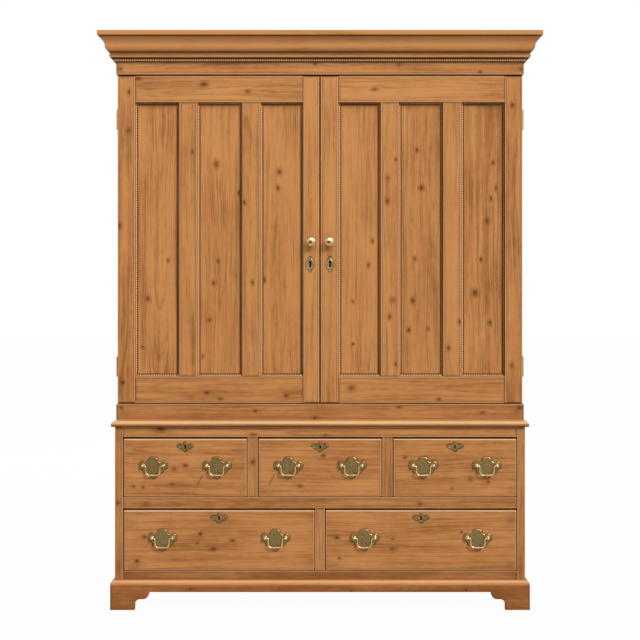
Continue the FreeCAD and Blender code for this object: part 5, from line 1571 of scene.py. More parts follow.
class PRESS_OT_doors(bpy.types.Operator):
    """Makes both doors: stiles, rails, muntins, panels and the pearled strips"""

    bl_idname = "press.doors"
    bl_label = "Doors"

    def execute(self, context):
        sizes = context.scene.press_sizes
        edge = sizes.board_edge
        for side in ("left", "right"):
            name = "door_" + side
            members, low, high = door_members(side)
            y0, y1 = low[1], high[1]
            z0, z1 = low[2], high[2]
            base_seed = 30.0 if side == "left" else 40.0
            stiles = Shell(base_seed)
            bars = Shell(base_seed + 2.4)
            panels = Shell(base_seed + 4.2)
            strips = Shell(base_seed + 6.0)
            inner = [m for m in members if m[0] != "stile"]
            rail_x0 = min(m[1] for m in inner)
            rail_x1 = max(m[2] for m in inner)
            for rz0, rz1 in ((z1 - TOP_RAIL, z1), (z0, z0 + BOTTOM_RAIL)):
                case_board(bars, (rail_x0, rail_x1, y0, y1, rz0, rz1), 0, edge, name)
            panel_low, panel_high = corners(name + "_panels")
            for kind, x0, x1 in members:
                if kind == "stile" and abs(x0 + x1) < HINGE_STILE * 2:
                    # The dark line round the escutcheon and the knob's rose: old wax and dirt with a painted
                    # shadow. The edges: wear and a painted highlight.
                    outlines = [door_escutcheon_outline() + np.array([DOOR_KEY_X[side], DOOR_KEY_Z]),
                                round_outline(KNOB_ROSE) + np.array([KNOB_X[side], KNOB_Z])]
                    case_board(stiles, (x0, x1, y0, y1, z0, z1), 2, edge, name, rub=0.4,
                               stain=wax_round(outlines, y0), extra=close_cuts(outlines),
                               tint=(0.7 if side == "left" else 0.3, 0.0))
                elif kind == "stile":
                    case_board(stiles, (x0, x1, y0, y1, z0, z1), 2, edge, name,
                               clean=((0, 0 if side == "left" else 1),))
                elif kind == "muntin":
                    case_board(bars, (x0, x1, y0, y1, z0 + BOTTOM_RAIL, z1 - TOP_RAIL), 2, edge, name)
                else:
                    bounds = (x0 - PANEL_GROOVE + MM, x1 + PANEL_GROOVE - MM, panel_low[1], panel_high[1],
                              panel_low[2] + MM, panel_high[2] - MM)
                    # Painted shade under the top strip and along the right one
                    right = x1 - STRIP_WIDTH
                    top = z1 - TOP_RAIL - STRIP_WIDTH
                    cuts = (right - np.arange(3) * SHADE_CELL, (), top - np.arange(6) * SHADE_CELL)
                    case_board(panels, bounds, 2, PANEL_EDGE, name,
                               stain=shaded(right, panel_low[1], top), extra=cuts)
                    door_strips(strips, x0, x1, z0 + BOTTOM_RAIL, z1 - TOP_RAIL, panel_low[1],
                                sizes.pearl_pitch)
            for shell, piece, node in ((stiles, "_stile_boards", "_stiles"), (bars, "_rail_boards", "_rails"),
                                       (panels, "_panel_boards", "_panels"),
                                       (strips, "_pearl_strips", "_mouldings")):
                shell.build(name + piece, name + node, "waxed_pine_doors", "pine_doors")
        return {"FINISHED"}


class PRESS_OT_chest(bpy.types.Operator):
    """Makes the chest's top, sides, face frame and back"""

    bl_idname = "press.chest"
    bl_label = "Chest"

    def execute(self, context):
        edge = context.scene.press_sizes.board_edge
        low, high = corners("chest_face_frame")
        face, deep = low[1], high[1]
        rooms = {number: drawer_opening(number) for number in range(1, 6)}
        x0 = low[0] + CORNER_STILE
        x1 = high[0] - CORNER_STILE
        shell = Shell(50.0)
        for a, b, outer in ((low[0], x0, 0), (x1, high[0], 1)):
            case_board(shell, (a, b, face, deep, low[2], high[2]), 2, edge, "chest_face_frame",
                       clean=((0, outer),))
        rails = ((low[2], rooms[4][2], -1.1, ()), (rooms[4][3], rooms[1][2], -0.4, (4, 5)),
                 (rooms[1][3], high[2], 0.1, (1, 2, 3)))
        for a, b, light, locks in rails:
            case_board(shell, (x0, x1, face, deep, a, b), 0, edge, "chest_face_frame", tint=(light, 0.1),
                       mortises=[lock_mortise(number, 0) for number in locks])
        for first, second in ((1, 2), (2, 3), (4, 5)):
            case_board(shell, (rooms[first][1], rooms[second][0], face, deep, rooms[first][2],
                               rooms[first][3]), 2, edge, "chest_face_frame")
        shell.build("chest_frame_boards", "chest_face_frame", "waxed_pine", "pine_case")

        shell = Shell(54.0)
        side_boards(shell, "chest_sides", CHEST_SIDE, edge)
        shell.build("chest_side_boards", "chest_sides", "waxed_pine", "pine_case")

        shell = Shell(56.0)
        boards_across(shell, "chest_back", 2, 0, CHEST_BACK_BOARDS, wild=12.0)
        shell.build("chest_back_boards", "chest_back", "bare_pine", "pine_inside")

        shell = Shell(58.0)
        low, high = corners("chest_top")
        tall = high[2] - low[2]
        upper = TOP_EDGE_UPPER * (1 - math.sqrt(0.5))
        lower = TOP_EDGE_LOWER * (1 - math.sqrt(0.5))
        profile = outline_points([
            (-TOP_BORDER, 0.0),
            (-TOP_EDGE_LOWER, 0.0),
            ((-lower, lower), (0.0, TOP_EDGE_LOWER)),
            (0.0, tall - TOP_EDGE_UPPER),
            ((-upper, tall - upper), (-TOP_EDGE_UPPER, tall)),
            (-TOP_BORDER, tall),
        ])
        # Painted shade under the top's front edge and on its lower rounding, a painted highlight on its upper
        # rounding
        stain = np.zeros(len(profile))
        stain[1] = 0.9
        stain[2:10] = np.linspace(0.9, 0.55, 8)
        stain[10:20] = (0.30, -0.2, -0.6, -0.75, -0.75, -0.7, -0.6, -0.5, -0.4, -0.2)
        three_runs(shell, profile, high[0], low[1], low[2], high[1], PLAIN_CELL, soil=stain, tint=(0.1, 0.1))
        board(shell, *box_of(low[0] + TOP_BORDER, high[0] - TOP_BORDER, low[1] + TOP_BORDER, high[1],
                             low[2], high[2]), 0, TOP_EDGE, tint=(0.1, 0.1))
        shell.build("chest_top_board", "chest_top", "waxed_pine", "pine_case")

        use_finish("chest_runners", "bare_pine_runners")
        return {"FINISHED"}


def use_finish(node, name):
    """Gives a CAD node's object one of the finishes."""
    slots = frame["nodes"][node].material_slots
    for slot in slots:
        slot.material = bpy.data.materials[name]


def foot_path():
    """A bracket foot's inner edge from the rail down to the floor: (distance from the corner, height)."""
    straight = PLINTH_RAIL_BOTTOM - BRACKET_STRAIGHT
    bulge = BRACKET_ROUND * math.sqrt(0.5)
    hollow = BRACKET_HOLLOW * math.sqrt(0.5)
    round_x = BRACKET_REACH - BRACKET_ROUND
    foot_z = straight - BRACKET_ROUND - BRACKET_HOLLOW
    return outline_points([
        (BRACKET_REACH, PLINTH_RAIL_BOTTOM),
        (BRACKET_REACH, straight),
        ((round_x + bulge, straight - bulge), (round_x, straight - BRACKET_ROUND)),
        (FOOT_WIDTH + BRACKET_HOLLOW, straight - BRACKET_ROUND),
        ((FOOT_WIDTH + BRACKET_HOLLOW - hollow, foot_z + hollow),
         (FOOT_WIDTH, foot_z)),
        (FOOT_WIDTH, 0.0),
        (0.0, 0.0),
    ], 8)


def footed_board(shell, length, top, place, thickness, edge, knots=(), skip=0.0):
    """A board on edge with bracket feet.

    Its outline runs along the feet and the rail's lower edge, then back along the top. Upright cuts part each
    face into flat fields. Beside each face two rings, drawn in from the outline, round the arris.
    """
    foot = foot_path()[::-1]
    rail = np.linspace(BRACKET_REACH, length - BRACKET_REACH, max(3, int(length / RAIL_CELL)))[1:-1]
    rail = np.stack([rail, np.full(len(rail), PLINTH_RAIL_BOTTOM)], 1)
    lower = np.concatenate([foot, rail, foot[::-1] * np.array([-1.0, 1.0]) + np.array([length, 0.0])])
    cuts = [0] + [k for k in range(1, len(foot)) if abs(foot[k, 0] - FOOT_WIDTH) < 1e-9 and foot[k, 1] > MM]
    cuts += list(range(len(foot) - 1, len(foot) + len(rail) + 1))
    cuts += [len(lower) - 1 - k for k in cuts[1:2]] + [len(lower) - 1]
    lower[:, 0] = np.maximum(lower[:, 0], skip)
    upper = np.stack([lower[cuts, 0], np.full(len(cuts), top)], 1)
    outline = np.concatenate([lower, upper[::-1]])
    small = drawn_in(outline, edge)
    middle = drawn_in(outline, edge * 0.3)
    loops = [(small, 0.0), (middle, edge * 0.3), (outline, edge), (outline, thickness - edge),
             (middle, thickness - edge * 0.3), (small, thickness)]
    number = len(outline)
    index, walls = ring_quads(len(loops), number)
    faces = [walls]
    for ring, turned in ((index[0], True), (index[-1], False)):
        for k in range(len(cuts) - 1):
            field = np.concatenate([ring[cuts[k]:cuts[k + 1] + 1], ring[[number - 2 - k, number - 1 - k]]])
            faces.append((field[::-1] if turned else field)[None])
    middle_point = np.array([length / 2, top / 2])
    grain = placed(loops, lambda flat, depth: np.column_stack([flat - middle_point, depth]))
    soil = np.zeros(len(grain))
    # Wear and a painted highlight on the front face's rounded arris
    soil[number:2 * number] = FOOT_WEAR_AND_HIGHLIGHT
    shell.add(placed(loops, place), faces, grain, reach=(length / 2, FAR, FAR), tint=(-1.3, -0.2), soil=soil,
              knots=knots)


def drawn_in(outline, distance):
    """A closed outline moved inward: each corner goes along the sum of its two sides' normals."""
    ahead = np.roll(outline, -1, axis=0) - outline
    behind = outline - np.roll(outline, 1, axis=0)
    ahead = ahead / np.linalg.norm(ahead, axis=1)[:, None]
    behind = behind / np.linalg.norm(behind, axis=1)[:, None]
    turned = np.roll(outline, -1, axis=0)
    area = (outline[:, 0] * turned[:, 1] - turned[:, 0] * outline[:, 1]).sum()
    sign = 1.0 if area > 0 else -1.0
    first = np.stack([-behind[:, 1], behind[:, 0]], 1) * sign
    second = np.stack([-ahead[:, 1], ahead[:, 0]], 1) * sign
    total = first + second
    scale = np.maximum((total * first).sum(1), 0.5)
    return outline + total * (distance / scale)[:, None]


class PRESS_OT_plinth(bpy.types.Operator):
    """Makes the plinth with its bracket feet and moulding, and the blocks inside it"""

    bl_idname = "press.plinth"
    bl_label = "Plinth"

    def execute(self, context):
        low, high = corners("plinth")
        board_top = high[2] - PLINTH_MOULDING
        shell = Shell(60.0)
        length = high[0] - low[0]
        depth = high[1] - low[1]

        def front_place(flat, deep):
            """The front board: along X, up Z, thick along Y."""
            return np.stack([low[0] + flat[:, 0], low[1] + deep, flat[:, 1]], 1)

        knots = []
        for px, py, size in KNOTS["plinth"]:
            x, z = photo_place(px, py, low[1])
            knots.append((x, z - board_top / 2, size * MM))
        footed_board(shell, length, board_top, front_place, PLINTH_BOARD, PLINTH_EDGE, knots)
        for side in (-1, 1):
            outer = low[0] if side < 0 else high[0]

            def side_place(flat, deep, outer=outer, side=side):
                """A side board: along Y, up Z, thick inward along X."""
                return np.stack([outer - side * deep, low[1] + flat[:, 0], flat[:, 1]], 1)

            footed_board(shell, depth, board_top, side_place, PLINTH_BOARD, PLINTH_EDGE,
                         skip=PLINTH_BOARD + PLINTH_JOINT)
        inner = high[0] - PLINTH_BOARD
        board(shell, *box_of(-inner, inner, high[1] - PLINTH_BACK_RAIL, high[1], PLINTH_RAIL_BOTTOM,
                             board_top), 0)
        profile = outline_points([
            (0.0, 0.0),
            (PLINTH_OUT, 0.0),
            (PLINTH_OUT, PLINTH_MOULDING * 0.12),
            ((PLINTH_OUT * 0.70, PLINTH_MOULDING * 0.64), (PLINTH_OUT * 0.1, PLINTH_MOULDING)),
            (0.0, PLINTH_MOULDING),
        ])
        # Painted light on the moulding: a highlight on its rounded slope and a lighter tint; painted shade at
        # its top
        stain = np.zeros(len(profile))
        stain[3:11] = (-0.1, -0.2, -0.4, -0.55, -0.45, -0.1, 0.3, 0.5)
        chest_low, chest_high = corners("chest_face_frame")
        three_runs(shell, profile, chest_high[0], chest_low[1], board_top, high[1], PLINTH_CELL,
                   soil=stain, tint=(0.8, 0.0))
        shell.build("plinth_boards", "plinth", "waxed_pine_plinth", "pine_case")

        shell = Shell(64.0)
        low, high = corners("foot_blocks")
        for x0, x1 in both_ends(low, high, FOOT_BLOCK):
            for y0, y1 in both_ends(low, high, FOOT_BLOCK, 1):
                board(shell, *box_of(x0, x1, y0, y1, low[2], high[2]), 2, BLOCK_EDGE)
        shell.build("corner_blocks", "foot_blocks", "bare_pine", "pine_inside")
        return {"FINISHED"}


class PRESS_OT_drawers(bpy.types.Operator):
    """Makes the five drawers' fronts and dovetailed boxes"""

    bl_idname = "press.drawers"
    bl_label = "Drawers"

    def execute(self, context):
        sizes = context.scene.press_sizes
        for number in range(1, 6):
            name = "drawer_" + str(number)
            low, high = corners(name + "_front")
            shell = Shell(70.0 + 3 * number)
            outlines = [plate_outline() + np.array(place) for place in pull_places(number)]
            key_place = np.array([(low[0] + high[0]) / 2, high[2] - KEY_DROP])
            outlines.append(drawer_escutcheon_outline() + key_place)
            scratch = scratch_lines(name, low[1])
            # The dark line round the brasses: old wax and dirt with a painted shadow. The top arris: painted
            # shade by the gap and a painted highlight below.
            stains_and_shade = [wax_round(outlines, low[1]), top_arris(low, high, sizes.drawer_edge)]
            fine_cuts = close_cuts(outlines + scratch)
            under = high[2] - sizes.drawer_edge - 3.0 * RIM
            fine_cuts = (fine_cuts[0], (), np.append(fine_cuts[2], under))
            if scratch:
                stains_and_shade.append(wax_round(scratch, low[1], SCRATCH_WIDTH, SCRATCH_SOIL))
            # Wear and a painted highlight on the front's edges, painted shade on its walls in the gaps
            case_board(shell, (low[0], high[0], low[1], high[1], low[2], high[2]), 0, sizes.drawer_edge, name,
                       tint=(seed_numbers(70.0 + number, 1)[0] * 0.3 - 0.2, 0.0), rub=0.6, grimy=1.0,
                       stain=summed(*stains_and_shade), extra=fine_cuts, mortises=(lock_mortise(number, 1),))
            shell.build(name + "_front_board", name + "_front", "waxed_pine_drawers",
                        "pine_drawer_fronts")
            drawer_box(name)
        return {"FINISHED"}


def drawer_box(name):
    """A drawer's two dovetailed sides, its bottom and its back."""
    front_low, front_high = corners(name + "_front")
    low, high = corners(name + "_box")
    joint = front_high[1]
    foot = front_low[2]
    top = front_high[2] - SIDE_BELOW_FRONT
    pitch = (top - foot) / TAILS
    steps = [(joint, low[2]), (high[1], low[2]), (high[1], top), (joint, top)]
    for index in range(TAILS - 1, -1, -1):
        middle = foot + (index + 0.5) * pitch
        narrow = pitch * TAIL_SHARE / 2
        wide = narrow + TAIL_FLARE
        steps += [(joint, middle + narrow), (joint - TAIL_LENGTH, middle + wide),
                  (joint - TAIL_LENGTH, middle - wide), (joint, middle - narrow)]
    outline = np.array(steps)
    seed = 100.0 + 4 * int(name[-1])
    shell = Shell(seed)
    for outer, sign in ((front_low[0] - PROUD, 1), (front_high[0] + PROUD, -1)):

        def side_place(flat, deep, outer=outer, sign=sign):
            """A side board: along Y, up Z, thick inward along X."""
            return np.stack([outer + sign * deep, flat[:, 0], flat[:, 1]], 1)

        slab(shell, outline, side_place, DRAWER_SIDE + PROUD, (1, 2, 0))
    inset = DRAWER_SIDE - BOTTOM_GROOVE
    bottom_z = low[2] + BOTTOM_RAISE
    board(shell, *box_of(front_low[0] + inset, front_high[0] - inset, joint - BOTTOM_GROOVE, high[1],
                         bottom_z, bottom_z + DRAWER_BOTTOM), 0, FLOOR_EDGE)
    board(shell, *box_of(front_low[0] + DRAWER_SIDE, front_high[0] - DRAWER_SIDE, high[1] - DRAWER_BACK,
                         high[1], bottom_z + DRAWER_BOTTOM, top - BACK_BELOW_SIDE), 0, BEARER_EDGE)
    shell.build(name + "_box_boards", name + "_box", "bare_pine", "pine_inside")


# Brasses


def plate_outline():
    """The batwing plate's outline, symmetric, with cusps between its lobes."""
    wide = PLATE_HALF_WIDTH
    top = PLATE_TOP
    drop = PLATE_DROP
    return mirrored(outline_points([
        (0.0, top),
        ((wide * 0.20, top * 0.97), (wide * 0.33, top * 0.76)),
        ((wide * 0.38, top * 0.50), (wide * 0.50, top * 0.42)),
        ((wide * 0.62, top * 0.32), (wide * 0.72, top * 0.52)),
        ((wide * 0.90, top * 0.44), (wide, top * 0.10)),
        ((wide * 0.99, -drop * 0.12), (wide * 0.88, -drop * 0.24)),
        ((wide * 0.78, -drop * 0.25), (wide * 0.72, -drop * 0.34)),
        ((wide * 0.66, -drop * 0.50), (wide * 0.48, -drop * 0.57)),
        ((wide * 0.34, -drop * 0.60), (wide * 0.27, -drop * 0.74)),
        ((wide * 0.17, -drop * 0.86), (0.0, -drop)),
    ], 6))


def drawer_escutcheon_outline():
    """A wide pointed plate with cusps at its shoulders."""
    wide = DRAWER_ESCUTCHEON[0] / 2
    high = DRAWER_ESCUTCHEON[1] / 2
    return mirrored(outline_points([
        (0.0, high * 0.98),
        ((wide * 0.13, high * 0.80), (wide * 0.23, high * 0.52)),
        ((wide * 0.40, high * 0.40), (wide * 0.60, high * 0.57)),
        ((wide * 0.83, high * 0.49), (wide, high * 0.06)),
        ((wide * 0.78, -high * 0.14), (wide * 0.63, -high * 0.43)),
        ((wide * 0.42, -high * 0.40), (wide * 0.28, -high * 0.63)),
        ((wide * 0.17, -high * 0.80), (0.0, -high * 1.02)),
    ], 8))


def door_escutcheon_outline():
    """An upright pointed oval with a small finial at each end."""
    wide = DOOR_ESCUTCHEON[0] / 2
    half = DOOR_ESCUTCHEON[1] / 2
    return mirrored(outline_points([
        (0.0, half),
        ((wide * 0.21, half * 0.90), (wide * 0.13, half * 0.80)),
        ((wide * 0.78, half * 0.44), (wide, -half * 0.04)),
        ((wide * 0.83, -half * 0.45), (wide * 0.22, -half * 0.72)),
        ((wide * 0.24, -half * 0.86), (0.0, -half)),
    ], 8))


def round_outline(radius):
    """A circle of forty points."""
    angle = 2 * math.pi * np.arange(40) / 40
    return np.stack([np.cos(angle), np.sin(angle)], 1) * radius


def keyhole_outline(height):
    """A round head over a slot that widens downward."""
    head = height * 0.25
    neck = height * 0.15
    foot = height * 0.20
    centre = height / 2 - head
    low = math.asin(neck / head)
    angles = np.linspace(0, math.pi - low, 14)
    arc = np.stack([head * np.sin(angles), centre + head * np.cos(angles)], 1)
    right = np.concatenate([arc, [[foot, -height / 2], [0.0, -height / 2]]])
    return mirrored(right)


def front_plane(x, z, plane):
    """A placing function for flat brasses that stand forward from an upright plane."""

    def place(flat, forward):
        """Across along X, up along Z, forward towards the front."""
        return np.stack([x + flat[:, 0], plane - forward, z + flat[:, 1]], 1)

    return place


def key_plate(shell, dark, outline, height, x, z, plane):
    """An escutcheon with its keyhole, and a near-black sheet behind it: painted shade for the lock inside."""
    place = front_plane(x, z, plane)
    outer = at_angles(outline, ESCUTCHEON_SPOKES)
    inner = at_angles(keyhole_outline(height), ESCUTCHEON_SPOKES)
    pierced_plate(shell, outer, inner, place, ESCUTCHEON, ESCUTCHEON_RIM)
    slab(dark, keyhole_outline(height) * KEYHOLE_GROWTH, place, KEYHOLE_BACK)


def handle_post(shell, x, z, plane):
    """A turned post: collar, neck and ball, from the plate forward, and its nut behind the front."""
    root = math.sqrt(POST_BALL ** 2 - POST_NECK ** 2)
    profile = outline_points([
        (0.0, PLATE * 0.5),
        (POST_COLLAR, PLATE * 0.5),
        (POST_COLLAR, PLATE + COLLAR * 0.6),
        ((POST_COLLAR * 0.92, PLATE + COLLAR), (POST_COLLAR * 0.7, PLATE + COLLAR * 1.25)),
        ((POST_NECK * 1.3, PLATE + COLLAR * 2.2), (POST_NECK, PLATE + COLLAR * 3.5)),
        (POST_NECK, POST_REACH - root),
        ((POST_BALL, POST_REACH), (0.0, POST_REACH + POST_BALL)),
    ], 8)
    lathe(shell, profile, (x, plane, z), (0, -1, 0), 28)


def nut(shell, x, z, plane):
    """A round nut with eased edges."""
    profile = outline_points([
        (0.0, 0.0),
        (NUT_RADIUS, 0.0),
        (NUT_RADIUS, NUT * 0.7),
        ((NUT_RADIUS * 0.94, NUT * 0.92), (NUT_RADIUS * 0.8, NUT)),
        (0.0, NUT),
    ], 4)
    lathe(shell, profile, (x, plane, z), (0, 1, 0), 20)


def bail_path():
    """A bail's middle line: out of a post, down a tight shoulder, round two lower corners and back."""
    half = BAIL_HALF_WIDTH
    bend = 1 - math.sqrt(0.5)
    shoulder = BAIL_SHOULDER
    corner = BAIL_CORNER
    end = POST_SPACING / 2 - BAIL_PIN_INSET
    right = outline_points([
        (end, 0.0),
        (half + shoulder, 0.0),
        ((half + shoulder * bend, -shoulder * bend), (half, -shoulder)),
        (half, (corner - BAIL_DROP - shoulder) / 2),
        (half, corner - BAIL_DROP),
        ((half - corner * bend, corner * bend - BAIL_DROP), (half - corner, -BAIL_DROP)),
        (half * 0.25, -BAIL_DROP),
        (0.0, -BAIL_DROP),
    ], 10)
    left = right[-2::-1] * np.array([-1.0, 1.0])
    return np.concatenate([right, left])


def pull_places(number):
    """The middles of a drawer's two handles, at the height of their posts."""
    low, high = corners("drawer_" + str(number) + "_front")
    upper = number <= 3
    offset = UPPER_PULL_OFFSET if upper else LOWER_PULL_OFFSET
    drop = UPPER_PULL_DROP if upper else LOWER_PULL_DROP
    middle = (low[0] + high[0]) / 2
    return [(middle - offset, high[2] - drop), (middle + offset, high[2] - drop)]


class PRESS_OT_handles(bpy.types.Operator):
    """Makes the drawers' plates, posts, swinging bails, escutcheons and locks"""

    bl_idname = "press.handles"
    bl_label = "Drawer handles"

    def execute(self, context):
        swell = context.scene.press_sizes.bail_swell
        path = bail_path()
        for number in range(1, 6):
            name = "drawer_" + str(number)
            low, high = corners(name + "_front")
            plane = low[1]
            plates = Shell(200.0)
            posts = Shell(210.0)
            dark = Shell(220.0)
            for letter, (x, z) in zip("ab", pull_places(number)):
                domed_plate(plates, plate_outline(), np.array([0.0, -PLATE_DROP * 0.06]),
                            front_plane(x, z, plane), PLATE, PLATE_RIM)
                for side in (-1, 1):
                    handle_post(posts, x + side * POST_SPACING / 2, z, plane)
                    nut(posts, x + side * POST_SPACING / 2, z, high[1])
                bail = Shell(230.0)
                line = np.stack([x + path[:, 0], np.full(len(path), plane - POST_REACH), z + path[:, 1]], 1)
                thick = 1 - swell + 2 * swell * np.clip(-path[:, 1] / BAIL_DROP, 0, 1) ** 2
                swept_bar(bail, line, np.minimum(BAIL_RADIUS * thick, BAIL_RADIUS))
                bail.build(name + "_bail_bar_" + letter, name + "_bail_" + letter, "rubbed_brass",
                           "brass_antique", 60.0)
            middle = (low[0] + high[0]) / 2
            key_plate(plates, dark, drawer_escutcheon_outline(), DRAWER_KEYHOLE, middle, high[2] - KEY_DROP,
                      plane)
            bolt_low, bolt_high = corners(name + "_lock_bolt")
            lock_block(posts, middle, high, bolt_low, bolt_high)
            plates.build(name + "_plates", name + "_brasses", "engraved_brass", "brass_antique")
            posts.build(name + "_posts_and_lock", name + "_brasses", "rubbed_brass", "brass_antique")
            dark.build(name + "_keyhole", name + "_brasses", "keyhole_dark", "brass_antique")
            use_finish(name + "_lock_bolt", "dull_brass")
        return {"FINISHED"}


def lock_block(shell, middle, front_high, bolt_low, bolt_high):
    """A drawer lock let into the back of the front: a collar round the bolt over a solid lower half."""
    half = LOCK_WIDTH / 2
    y1 = front_high[1] + PROUD
    y0 = y1 - LOCK_DEPTH
    outer = rectangle(half, (y1 - y0) / 2)
    hole_x = (bolt_high[0] - bolt_low[0]) / 2 + BOLT_GAP
    hole_y = (bolt_high[1] - bolt_low[1]) / 2 + BOLT_GAP
    collar_z = bolt_low[2] - BOLT_GAP
    top = front_high[2] + PROUD

    def place(flat, up):
        """Across along X, deep along Y, upward."""
        return np.stack([middle + flat[:, 0], (y0 + y1) / 2 + flat[:, 1], collar_z + up], 1)

    tube(shell, outer, rectangle(hole_x, hole_y), place, top - collar_z)
    board(shell, *box_of(middle - half, middle + half, y0, y1, top - LOCK_WIDTH, collar_z), 2, LOCK_EDGE,
          tint=(0, 0))


def rectangle(half_x, half_y):
    """Four corners about the middle."""
    return np.array([[half_x, half_y], [-half_x, half_y], [-half_x, -half_y], [half_x, -half_y]])


def knob_profile():
    """A round knob on a small rose: collar, neck, swell and a ball-shaped cap."""
    radius = KNOB_RADIUS
    reach = KNOB_REACH
    cap = radius - KNOB_SHOULDER
    ball = (cap * cap + KNOB_CAP_RISE * KNOB_CAP_RISE) / (2 * KNOB_CAP_RISE)
    cap_middle = reach - ball + math.sqrt(ball * ball - cap * cap / 4)
    return outline_points([
        (0.0, 0.0),
        (KNOB_ROSE, 0.0),
        (KNOB_ROSE, reach * 0.05),
        ((KNOB_NECK * 1.25, reach * 0.125), (KNOB_NECK, reach * 0.25)),
        ((KNOB_NECK * 1.42, reach * 0.41), (radius * 0.83, reach * 0.52)),
        ((radius, reach * 0.66), (cap, reach - KNOB_CAP_RISE)),
        ((cap / 2, cap_middle), (0.0, reach)),
    ], 10)


def hinge_levels(low, high):
    """The middle heights of a door's hinges."""
    half = HINGE_LENGTH / 2
    return [low[2] + HINGE_LOW + half, high[2] - HINGE_HIGH - half]


def hinge(shell, x, y, level, outer_x, inward, on_door):
    """Half a butt hinge: its leaf on a board's edge, and every second knuckle round the pin."""
    pitch = HINGE_LENGTH / KNUCKLES
    low = level - HINGE_LENGTH / 2
    y1 = y - LEAF if on_door else y + LEAF
    board(shell, *box_of(outer_x, outer_x + inward * LEAF_WIDTH, y, y1, low, low + HINGE_LENGTH), 2,
          LEAF_EDGE, tint=(0, 0))
    for index in range(1 if on_door else 0, KNUCKLES, 2):
        z0 = low + index * pitch + KNUCKLE_GAP / 2
        z1 = z0 + pitch - KNUCKLE_GAP
        profile = outline_points([
            (0.0, 0.0), (KNUCKLE_RADIUS * 0.9, 0.0), (KNUCKLE_RADIUS, KNUCKLE_EDGE),
            (KNUCKLE_RADIUS, z1 - z0 - KNUCKLE_EDGE), (KNUCKLE_RADIUS * 0.9, z1 - z0), (0.0, z1 - z0)])
        lathe(shell, profile, (x, y, z0), (0, 0, 1), 24)
        board(shell, *box_of(x + inward * KNUCKLE_RADIUS * 0.6, outer_x + inward * LEAF_EDGE, y, y1, z0, z1),
              2, STRAP_EDGE, tint=(0, 0))


class PRESS_OT_door_brasses(bpy.types.Operator):
    """Makes the knobs, door escutcheons, hinges, rim lock, keeper and bolt plates"""

    bl_idname = "press.door_brasses"
    bl_label = "Door brasses"

    def execute(self, context):
        case = Shell(240.0)
        knob_line = knob_profile()
        for side in ("left", "right"):
            name = "door_" + side
            low, high = corners(name + "_stiles")
            all_low, all_high = corners(name + "_brasses")
            sign = -1 if side == "left" else 1
            outer_x = low[0] if side == "left" else high[0]
            hinge_x = (all_low[0] + KNUCKLE_RADIUS) if side == "left" else (all_high[0] - KNUCKLE_RADIUS)
            hinge_y = high[1] + HINGE_BEHIND
            bright = Shell(244.0)
            plates = Shell(248.0)
            dark = Shell(252.0)
            plain = Shell(256.0)
            lathe(bright, knob_line, (KNOB_X[side], low[1], KNOB_Z), (0, -1, 0), 56)
            key_plate(plates, dark, door_escutcheon_outline(), DOOR_KEYHOLE, DOOR_KEY_X[side], DOOR_KEY_Z,
                      low[1])
            for level in hinge_levels(low, high):
                hinge(plain, hinge_x, hinge_y, level, outer_x, -sign, True)
                hinge(case, hinge_x, hinge_y, level, outer_x, -sign, False)
            if side == "right":
                rim_lock(plain, high[1])
            else:
                keeper_and_plates(plain, high[1])
            brasses = name + "_brasses"
            plain.build(name + "_hinges_and_lock", brasses, "worn_brass", "brass_antique")
            bright.build(name + "_knob", brasses, "rubbed_brass", "brass_antique", 50.0)
            plates.build(name + "_escutcheon", brasses, "worn_brass", "brass_antique")
            dark.build(name + "_keyhole", brasses, "keyhole_dark", "brass_antique")
        case.build("case_hinges", "cupboard_hinges", "worn_brass", "brass_plain")
        for node in ("door_right_lock_bolt", "door_left_bolt_top", "door_left_bolt_bottom"):
            use_finish(node, "dull_brass")
        return {"FINISHED"}


def bolt_way():
    """The right door's bolt, its lowest and highest corner, and the hole that it runs in, a gap wider."""
    low, high = corners("door_right_lock_bolt")
    half = (high - low) / 2 + BOLT_GAP
    return low, high, rectangle(half[1], half[2])


def rim_lock(shell, back):
    """The rim lock on the right door's back: a sleeve round its bolt, and a solid part beyond it."""
    low, high, hole = bolt_way()
    middle = (low + high) / 2
    half_height = DOOR_LOCK_HEIGHT / 2
    length = high[0] - low[0] + BOLT_GAP

    def place(flat, along):
        """Deep along Y, up Z, along X from the meeting edge."""
        return np.stack([low[0] + along, back + DOOR_LOCK_DEPTH / 2 + flat[:, 0], middle[2] + flat[:, 1]], 1)

    tube(shell, rectangle(DOOR_LOCK_DEPTH / 2, half_height), hole, place, length)
    board(shell, *box_of(low[0] + length, low[0] + LOCK_WIDTH, back, back + DOOR_LOCK_DEPTH,
                         middle[2] - half_height, middle[2] + half_height), 2, LOCK_EDGE, tint=(0, 0))


